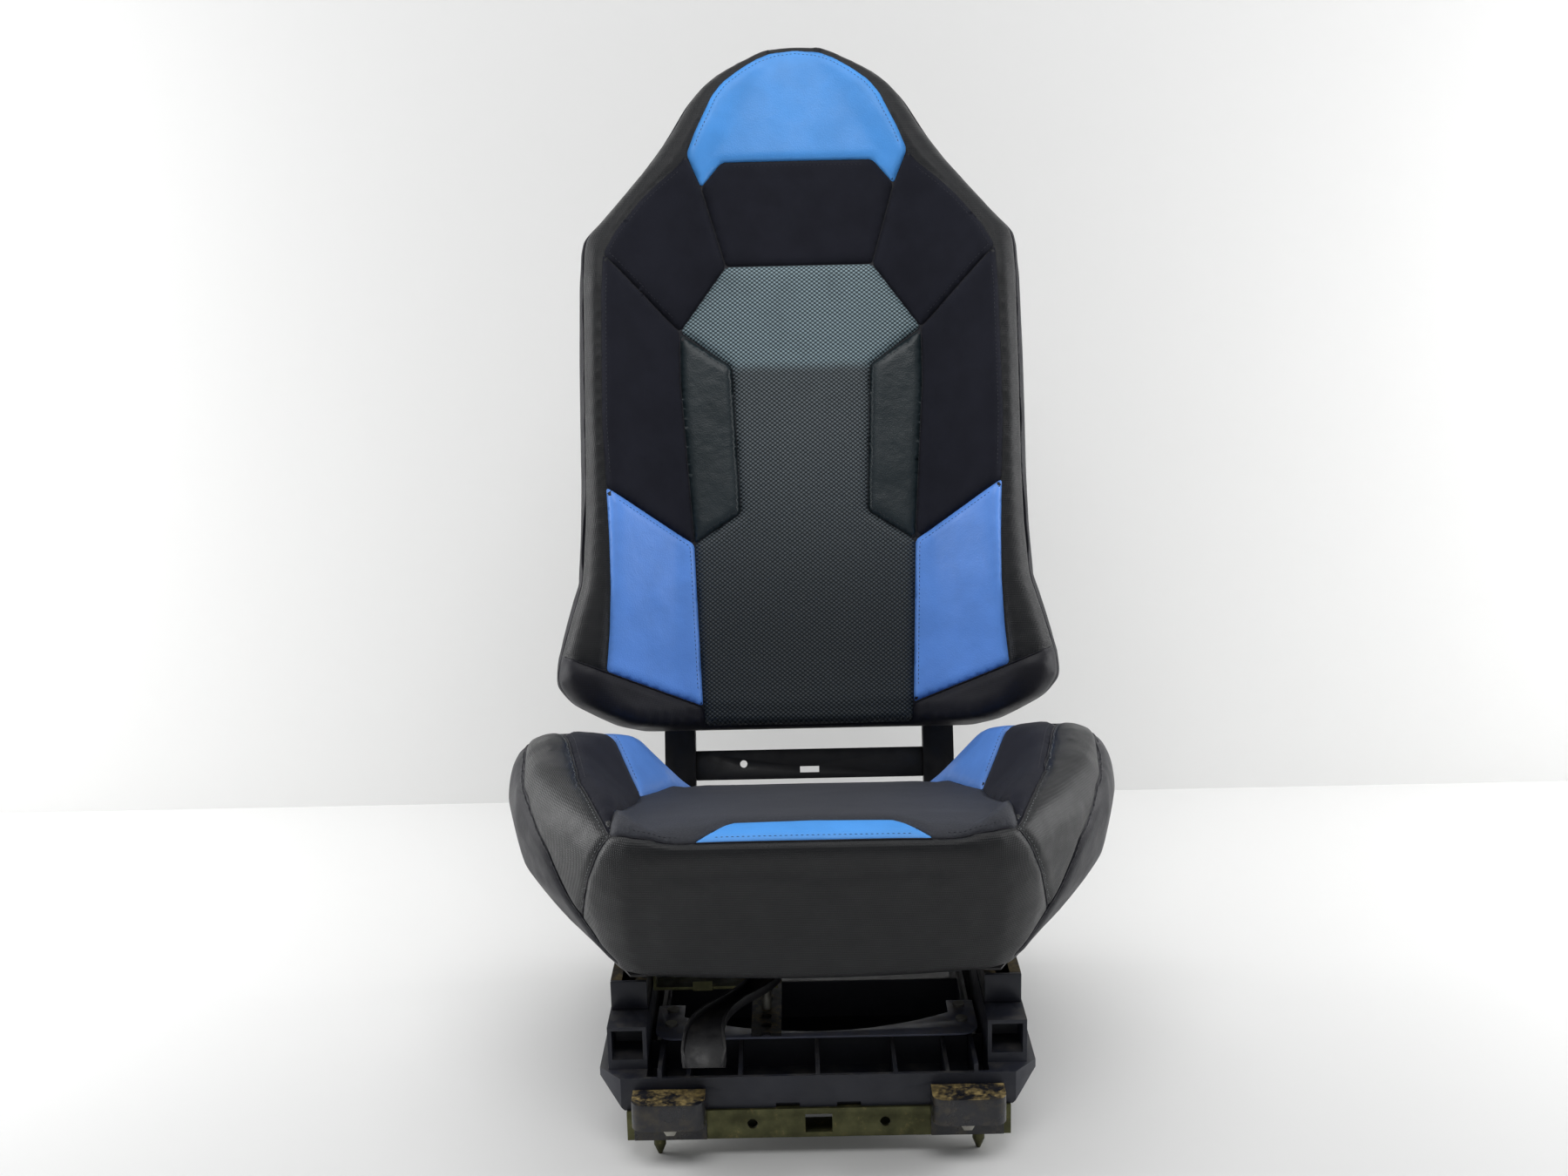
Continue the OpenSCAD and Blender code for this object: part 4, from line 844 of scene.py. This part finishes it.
# Patterns of the back, across and up in millimetres, right halves or right-hand panels
HEAD = whole([(0, 788), (24, 785), (46, 776), (66, 763), (84, 749), (97, 732), (106, 712), (117, 688),
              (127, 661), (119, 642), (111, 624), (99, 639), (87, 654), (0, 654)])
UPPER = whole([(0, 654), (87, 654), (111, 624), (84, 531), (0, 531)])
UPPER_SIDE = [(127, 661), (137, 647), (164, 621), (182, 602), (209, 566), (222, 540), (138, 456), (84, 531),
              (111, 624)]
LOWER_SIDE = [(222, 540), (224, 489), (224, 345), (220, 272), (125, 211), (138, 396), (138, 456)]
INSET = [(138, 454), (79, 414), (78, 393), (72, 245), (125, 211), (138, 396)]
CENTRE = whole([(0, 531), (84, 531), (138, 456), (79, 414), (78, 393), (72, 245), (125, 211), (118, 27),
                (117, 6), (0, 5)])
BOLSTER = [(220, 272), (125, 211), (118, 27), (222, 66), (218, 110), (216, 160), (217, 215)]
LOW_CORNER = [(268, 84), (222, 66), (118, 27), (117, 6)]
# The seam round the back, across and up, and how far forward it runs by height up the back
OUTER_LINE = whole([
    (262, 30), (280, 52), (283, 72), (262, 160), (252, 280), (252, 400), (253, 540), (246, 566), (224, 598),
    (196, 628), (172, 662), (152, 700), (128, 735), (104, 760), (70, 781), (36, 794), (0, 798)])
OUTER_SEAM = [(-20, -40), (24, 6), (45, 30), (100, 36), (237, 34), (395, 28), (513, 22), (592, 10), (655, 0),
              (711, -9), (800, -14)]

# Patterns of the cushion, across and along
SEAT_TOP = whole([(0, 318), (116, 316), (127, 290), (145, 240), (173, 141), (184, -64), (158, -76),
                  (108, -79), (76, -38), (0, -35)])
PATCH = whole([(0, -35), (76, -38), (108, -79), (0, -80)])
THIGH = [(184, -64), (173, 141), (208, 216), (230, 262), (252, 235), (252, 180), (243, 145), (220, 31)]
REAR_PATCH = [(173, 141), (208, 216), (230, 262), (206, 300), (130, 309), (127, 290), (145, 240)]
# Patterns seen from the side, along and height, and seams in space
FLANK = [(-24, 186), (-12, 208), (0, 240), (11, 289), (60, 326), (145, 346), (235, 336), (292, 300),
         (317, 250), (322, 188)]
NOSE_SEAM = [(184, -66, 332), (200, -57, 300), (213, -37, 267), (222, -4, 226)]
FACE_SEAM = [(184, -66, 333), (220, 31, 352), (243, 145, 354), (256, 200, 348), (262, 250, 335)]
FRONT_SEAM = [(-184, -64), (-158, -76), (-108, -79), (0, -80), (108, -79), (158, -76), (184, -64)]
FLANK_SEAM = [(290, 318, 240), (295, 292, 300), (297, 235, 336), (295, 145, 346), (284, 60, 323),
              (257, 11, 288), (231, 0, 240), (209, -12, 208), (192, -22, 188)]


# Each panel's name, pattern and finish, whether each side has one, and its hems' ends and insets
BACK_PANELS = (
    ("head_panel", HEAD, "blue", False, [((-127, 661), (127, 661), 6)]),
    ("upper_centre_panel", UPPER, "cloth", False, [((-87, 654), (87, 654), 6)]),
    ("centre_panel", CENTRE, "dotted", False, []),
    ("upper_side_panel", UPPER_SIDE, "cloth", True, [((127, 661), (138, 456), 6)]),
    ("lower_side_panel", LOWER_SIDE, "cloth", True, [((222, 540), (220, 272), 6)]),
    ("side_inset", INSET, "inset", True, [((138, 454), (125, 211), 5)]),
    ("lower_bolster_panel", BOLSTER, "deep_blue", True, [((220, 272), (118, 27), 5)]),
)
CUSHION_PANELS = (
    ("seat_top_panel", SEAT_TOP, "seat", False, [((184, -64), (108, -79), 5), ((-108, -79), (-184, -64), 5)]),
    ("front_patch", PATCH, "blue", False, [((-76, -38), (76, -38), 4), ((108, -79), (-108, -79), 5)]),
    ("thigh_panel", THIGH, "cloth", True, [((252, 235), (220, 31), 6)]),
    ("rear_patch", REAR_PATCH, "shaded_rear_blue", True, [((173, 141), (230, 262), 5)]),
)


def turned(points, hand):
    """A pattern or line as it is on the right (1) or mirrored on the left (-1)."""
    return [(hand * p[0], *p[1:]) for p in points]


def cut_panels(table):
    """Every panel of a table with its name, outline, finish and hems."""
    for name, outline, finish_name, paired, hems in table:
        for hand, tail in ((-1, "_left"), (1, "_right")) if paired else ((1, ""),):
            rows = [turned(hem(outline, *ends), hand) for ends in hems]
            yield name + tail, turned(outline, hand), finish_name, rows


def settle(piece, slot, body="seat"):
    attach(piece, body)
    return piece


def dress(skin, slot, nodes, table, ray, seams):
    """Pulls a pad's seams in, lets it stand for its nodes and sews its panels on. Returns its surface."""
    tree = surface_of(skin)
    valleys = [points for points, _ in seams(tree)]
    for _, outline, _, _ in cut_panels(table):
        loop = softened(outline, closed=True)
        valleys.append(laid_line([*loop, loop[0]], ray, tree, 2.0)[0])
    pull_seams(skin, valleys, sewing().seam_depth, sewing().seam_width)
    settle(skin, slot)
    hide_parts(*nodes)
    tree = surface_of(skin)
    for name, outline, finish_name, _ in cut_panels(table):
        settle(sewn_panel(name, outline, ray, tree, finish_name), slot)
    return tree


def seam_out(up):
    """How far forward of the back's origin the outer seam runs, in millimetres."""
    return np.interp(up, *zip(*OUTER_SEAM))


def outer_seam_line(tree):
    """The seam round the back between the rim and the side band."""
    targets = [back_point(across * 1.01, up, seam_out(up))
               for across, up in spaced(softened(OUTER_LINE), 3.0)]
    for rounds in (30, 0):
        met = [tree.find_nearest(Vector(t)) for t in targets]
        targets = evened(stacked(m[0] for m in met), rounds)
    return [m[0] for m in met], [m[1] for m in met]


class SEAT_OT_back_cover(Operator):
    """Swells the back's pad and sews its panels on"""

    bl_idname = "seat.back_cover"
    bl_label = "Back cover"

    def execute(self, context):
        s = sewing()

        def against_pan(points):
            return (points - np.array(BACK_ORIGIN)) @ np.array(BACK_OUT) < -0.0455

        def seams(tree):
            return [outer_seam_line(tree)] + [laid_line(turned(LOW_CORNER[:3], hand), back_ray, tree, 2.0)
                                              for hand in (-1, 1)]

        def drawn_out(points):
            """How far the cover draws the head up and the shoulders out to their corners."""
            off = points - np.array(BACK_ORIGIN)
            across, up = off[:, 0] / MM, off @ np.array(BACK_UP) / MM
            head = 7 * np.exp(-(across / 50) ** 2) * np.clip((up - 690) / 90, 0, 1)
            shoulder = 5 * np.exp(-((up - 564) / 16) ** 2) * np.clip((abs(across) - 215) / 25, 0, 1)
            return (np.outer(head, BACK_UP) + np.outer(np.sign(across) * shoulder, (1, 0, 0))) * MM

        skin = pad_skin("back_cover_skin", "back_foam", "rim", against_pan, drawn_out)
        tree = dress(skin, "back_skin", ("back_cover", "back_foam"), BACK_PANELS, back_ray, seams)
        self.mark_side_band(skin.data)
        settle(welt("back_outer_welt", *outer_seam_line(tree), s.welt, "side_vinyl"), "back_skin")
        for hand, side in ((-1, "left"), (1, "right")):
            line = laid_line(turned(LOW_CORNER, hand), back_ray, tree)
            settle(welt(f"lower_corner_seam_{side}", *line, s.welt * 0.6, "side_vinyl"), "back_skin")
        return {"FINISHED"}

    @staticmethod
    def mark_side_band(mesh):
        """Stores how far each point lies behind the outer seam or below the lower corners' seams."""
        points = vertex_points(mesh) - np.array(BACK_ORIGIN)
        up = points @ np.array(BACK_UP) / MM
        out = points @ np.array(BACK_OUT) / MM
        below = np.interp(abs(points[:, 0]) / MM, *zip(*LOW_CORNER[::-1])) - up
        behind = np.maximum(seam_out(up) - out, below) * MM
        band = mesh.attributes.new("side_band", "FLOAT", "POINT")
        band.data.foreach_set("value", behind.astype(np.float32))


class SEAT_OT_cushion_cover(Operator):
    """Swells the cushion's pad and sews its panels on"""

    bl_idname = "seat.cushion_cover"
    bl_label = "Cushion cover"

    def execute(self, context):
        s = sewing()
        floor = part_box("cushion_foam")[0].z

        def on_pan(points):
            return points[:, 2] < floor + 0.004

        def sat_in(points):
            """How far the seat's rear middle and the nose's lower edge sink, and the flanks draw in."""
            across, along, height = points.T / MM
            hollow = np.exp(-(across / 90) ** 2 - ((along - 240) / 90) ** 2)
            seat = 5 * hollow * np.clip((height - 250) / 80, 0, 1)
            ahead = np.clip((-6 - along) / 12, 0, 1) * np.clip((235 - height) / 50, 0, 1)
            nose = 6 * np.clip(1 - (across / 160) ** 2, 0, 1) * ahead
            flank = 4 * np.clip((abs(across) - 265) / 40, 0, 1)
            return np.column_stack([-np.sign(across) * flank, across * 0, -(seat + nose)]) * MM

        def seams(tree):
            return [snapped_line(turned(line, hand), tree, 2.0)
                    for line in (NOSE_SEAM, FLANK_SEAM, FACE_SEAM) for hand in (-1, 1)]

        skin = pad_skin("cushion_cover_skin", "cushion_foam", "cushion_vinyl", on_pan, sat_in)
        tree = dress(skin, "cushion_skin", ("cushion_cover", "cushion_foam"), CUSHION_PANELS, top_ray, seams)
        for hand, side in ((-1, "left"), (1, "right")):
            flank = sewn_panel(f"flank_panel_{side}", FLANK, side_ray(hand), tree, "side_vinyl")
            settle(flank, "cushion_skin")
            for name, line, share in (("flank_welt", FLANK_SEAM, 1), ("nose_seam", NOSE_SEAM, 0.55),
                                      ("face_seam", FACE_SEAM, 0.55)):
                laid = snapped_line(turned(line, hand), tree)
                settle(welt(f"{name}_{side}", *laid, s.welt * share, "side_vinyl"), "cushion_skin")
        front = laid_line(FRONT_SEAM, top_ray, tree)
        settle(welt("front_seam", *front, s.welt * 0.6, "side_vinyl"), "cushion_skin")
        return {"FINISHED"}


class SEAT_OT_stitching(Operator):
    """Runs the top stitching along the seams"""

    bl_idname = "seat.stitching"
    bl_label = "Top stitching"

    def execute(self, context):
        for part, table, ray in (("back", BACK_PANELS, back_ray), ("cushion", CUSHION_PANELS, top_ray)):
            rows = [laid_line(row, ray, surface_of(bpy.data.objects[name]), 4.0)
                    for name, _, _, hems in cut_panels(table) for row in hems]
            settle(stitches(f"{part}_stitching", rows), f"{part}_skin")
        tree = surface_of(bpy.data.objects["cushion_cover_skin"])
        rows = [beside(*snapped_line(turned(line, hand), tree), tree, away)
                for line in (NOSE_SEAM, FACE_SEAM) for hand in (-1, 1) for away in (-0.0034, 0.0034)]
        # Pale stitching: partly wear, partly a painted highlight along these seams
        settle(stitches("outer_seam_stitching", rows, "pale_thread"), "cushion_skin")
        return {"FINISHED"}


# ---------------------------------------------------------------- hard pieces


def rounded_copy(node, body, slot, width, finish_name, edge_finish=None, pick=None):
    """A copy of a hard piece with its sharp edges rounded, which stands for the node."""
    finish_names = [finish_name, edge_finish] if edge_finish else [finish_name]
    mesh = frame["nodes"][node].data.copy()
    work = bmesh.new()
    work.from_mesh(mesh)
    bmesh.ops.remove_doubles(work, verts=work.verts, dist=4e-6)
    bmesh.ops.dissolve_limit(work, angle_limit=math.radians(1.2), verts=work.verts, edges=work.edges)
    sharp = [e for e in work.edges if len(e.link_faces) == 2 and e.calc_face_angle(0) > math.radians(30)
             and (pick is None or pick(e))]
    for face in work.faces:
        face.material_index = 0
    bmesh.ops.bevel(work, geom=sharp, offset=width, offset_type="OFFSET", segments=3 if width > 0.002 else 2,
                    profile=0.5, affect="EDGES", clamp_overlap=True, material=1 if edge_finish else -1)
    work.to_mesh(mesh)
    work.free()
    mesh.polygons.foreach_set("use_smooth", [True] * len(mesh.polygons))
    mesh.set_sharp_from_angle(angle=math.radians(32))
    piece = settle(add_piece(f"{node}.rounded", mesh, *finish_names), slot, body)
    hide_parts(node)


# Each rounded piece's node, body and slot, its rounding in edges, and its finishes
BASE_PIECES = (
    ("base_tray", "base", "tray_plastic", 1, "plastic"),
    ("front_cross_bar", "base", "plated_steel", 0.7, "zinc"),
    ("rear_cross_bar", "base", "plated_steel", 0.7, "zinc"),
    ("front_hook_left", "base", "hook_paint", 2.2, "hook_paint"),
    ("front_hook_right", "base", "hook_paint", 2.2, "hook_paint"),
    ("lock_plate", "base", "plate_paint", 0.6, "plate_paint"),
    ("slide_lever", "lever", "lever_paint", 0.6, "black_paint", "bare_edge"),
    ("rail_end_caps", "base", "tray_plastic", 1, "plastic"),
)
# Each rounded piece of the frame and its rounding in edges
FRAME_PIECES = (
    ("upright_left", 2), ("upright_right", 2), ("cross_plate", 0.7), ("frame_side_left", 1.5),
    ("frame_side_right", 1.5), ("frame_rear_tube", 1.5), ("frame_front_tube", 1.5),
)


class SEAT_OT_base(Operator):
    """Rounds the edges of the tray, bars, hooks, plates and lever"""

    bl_idname = "seat.base"
    bl_label = "Base"

    def execute(self, context):
        edge = context.scene.seat_hardware.edge
        for node, body, slot, share, *finish_names in BASE_PIECES:
            rounded_copy(node, body, slot, edge * share, *finish_names)
        return {"FINISHED"}


class SEAT_OT_frame(Operator):
    """Rounds the edges of the uprights, cross plate and cushion frame"""

    bl_idname = "seat.frame"
    bl_label = "Seat frame"

    def execute(self, context):
        edge = context.scene.seat_hardware.edge
        for node, share in FRAME_PIECES:
            rounded_copy(node, "seat", "frame_paint", edge * share, "black_paint")
        return {"FINISHED"}


class SEAT_OT_rear_shell(Operator):
    """Rounds the rear shell's rim"""

    bl_idname = "seat.rear_shell"
    bl_label = "Rear shell"

    def execute(self, context):
        rear, play = -0.0843, 0.0004
        hole_side, hole_reach, hole_edge = 0.1485, 0.02, 0.004

        def on_rim(edge):
            """Whether an edge lies on the shell's rear face and isn't part of a round hole."""
            outs = [(v.co - BACK_ORIGIN).dot(BACK_OUT) for v in edge.verts]
            middle = (edge.verts[0].co + edge.verts[1].co) / 2
            round_hole = abs(abs(middle.x) - hole_side) < hole_reach and edge.calc_length() <= hole_edge
            return max(outs) < rear + play and not round_hole

        rounded_copy("back_shell", "seat", "shell_plastic", context.scene.seat_hardware.shell_edge, "shell",
                     pick=on_rim)
        return {"FINISHED"}


class SEAT_OT_finishes(Operator):
    """Gives every other piece of the frame its finish"""

    bl_idname = "seat.finishes"
    bl_label = "Finishes"

    def execute(self, context):
        slots = {part["node"]: part["material_slot"] for part in frame["record"]["subparts"]}
        for node, piece in frame["nodes"].items():
            piece.data.materials.clear()
            piece.data.materials.append(finish(SLOT_FINISH[slots[node]]))
        return {"FINISHED"}


# ---------------------------------------------------------------- stage


def rectangle(name, corners, finish_material):
    mesh = mesh_from(name, corners, [(0, 1, 2, 3)], smooth=False)
    piece = bpy.data.objects.new(name, mesh)
    bpy.context.scene.collection.objects.link(piece)
    mesh.materials.append(finish_material)
    return piece


def soft_lamp(name, place, target, size, power):
    lamp = bpy.data.lights.new(name, "AREA")
    lamp.shape = "RECTANGLE"
    lamp.size, lamp.size_y = size
    lamp.energy = power
    holder = bpy.data.objects.new(name, lamp)
    holder.location = place
    holder.rotation_euler = (Vector(target) - Vector(place)).to_track_quat("-Z", "Y").to_euler()
    bpy.context.scene.collection.objects.link(holder)


# Each lamp's name, place, target, size and power
LAMPS = (
    ("left_lamp", (-1.75, 0.4, 0.85), (0, 0, 0.5), (0.9, 1.4), 23),
    ("right_lamp", (1.75, 0.35, 0.85), (0, 0, 0.5), (0.9, 1.4), 22),
    ("front_lamp", (0, -1.3, 2.7), (0, 0.3, 0.5), (1.8, 1.0), 24),
    ("top_lamp", (0, 0.2, 2.6), (0, 0.3, 0.3), (1.8, 1.2), 13),
)
# The camera's tilt, turn and roll in degrees, its place, and its lens and sensor in millimetres
CAMERA_ANGLES = (12.7, -0.42, -1.32)
CAMERA_PLACE = (-0.010, -1.620, 0.906)
CAMERA_LENS = 42
CAMERA_SENSOR = 36


class SEAT_OT_stage(Operator):
    """Sets the camera, the pale floor and wall, and soft lamps"""

    bl_idname = "seat.stage"
    bl_label = "Stage"

    def execute(self, context):
        scene = context.scene
        scene.view_settings.view_transform = "Standard"
        self.camera(scene)
        paper = backdrop_paper("backdrop_paper", colours().paper)
        side, low, top, rear = 4, -0.0212, 2, 1.04
        fold = [(-side, rear, low), (side, rear, low)]
        rectangle("floor", [(-side, -side, low), (side, -side, low), *fold[::-1]], paper)
        rectangle("wall", [*fold, (side, rear, top), (-side, rear, top)], paper)
        for lamp in LAMPS:
            soft_lamp(*lamp)
        self.sky(scene)
        return {"FINISHED"}

    @staticmethod
    def camera(scene):
        tilt, turn, roll = (math.radians(angle) for angle in CAMERA_ANGLES)
        ahead = Vector((math.sin(turn) * math.cos(tilt), math.cos(turn) * math.cos(tilt), -math.sin(tilt)))
        right = Vector((math.cos(turn), -math.sin(turn), 0))
        up = right.cross(ahead)
        across = math.cos(roll) * right + math.sin(roll) * up
        upright = -math.sin(roll) * right + math.cos(roll) * up
        view = bpy.data.cameras.new("camera")
        view.lens = CAMERA_LENS
        view.sensor_width = CAMERA_SENSOR
        holder = bpy.data.objects.new("camera", view)
        spin = Matrix((across, upright, -ahead)).transposed().to_4x4()
        holder.matrix_world = Matrix.Translation(CAMERA_PLACE) @ spin
        scene.collection.objects.link(holder)
        scene.camera = holder

    @staticmethod
    def sky(scene):
        """Even, faintly cool light from everywhere."""
        world = bpy.data.worlds.new("sky")
        world.use_nodes = True
        back = world.node_tree.nodes["Background"]
        back.inputs["Color"].default_value = (0.93, 0.95, 1.0, 1)
        back.inputs["Strength"].default_value = 0.2
        scene.world = world


class SEAT_PT_panel(Panel):
    """Lists the steps that build the seat"""

    bl_idname = "SEAT_PT_panel"
    bl_label = "Bucket seat"
    bl_space_type = "VIEW_3D"
    bl_region_type = "UI"
    bl_category = "Seat"

    def draw(self, context):
        for step in STEPS:
            self.layout.operator(step.bl_idname)
        for group in (context.scene.seat_sewing, context.scene.seat_hardware, context.scene.seat_colours):
            box = self.layout.box()
            for name in group.bl_rna.properties.keys():
                if name not in ("name", "rna_type"):
                    box.prop(group, name)


STEPS = (SEAT_OT_stage, SEAT_OT_finishes, SEAT_OT_back_cover, SEAT_OT_cushion_cover, SEAT_OT_stitching,
         SEAT_OT_base, SEAT_OT_frame, SEAT_OT_rear_shell)
GROUPS = (SeatSewing, SeatHardware, SeatColours)


def register():
    for kind in (*GROUPS, *STEPS, SEAT_PT_panel):
        bpy.utils.register_class(kind)
    bpy.types.Scene.seat_sewing = PointerProperty(type=SeatSewing)
    bpy.types.Scene.seat_hardware = PointerProperty(type=SeatHardware)
    bpy.types.Scene.seat_colours = PointerProperty(type=SeatColours)


def unregister():
    del bpy.types.Scene.seat_colours
    del bpy.types.Scene.seat_hardware
    del bpy.types.Scene.seat_sewing
    for kind in reversed((*GROUPS, *STEPS, SEAT_PT_panel)):
        bpy.utils.unregister_class(kind)


def main():
    register()
    for step in STEPS:
        group, name = step.bl_idname.split(".")
        getattr(getattr(bpy.ops, group), name)()


if __name__ == "__main__":
    main()
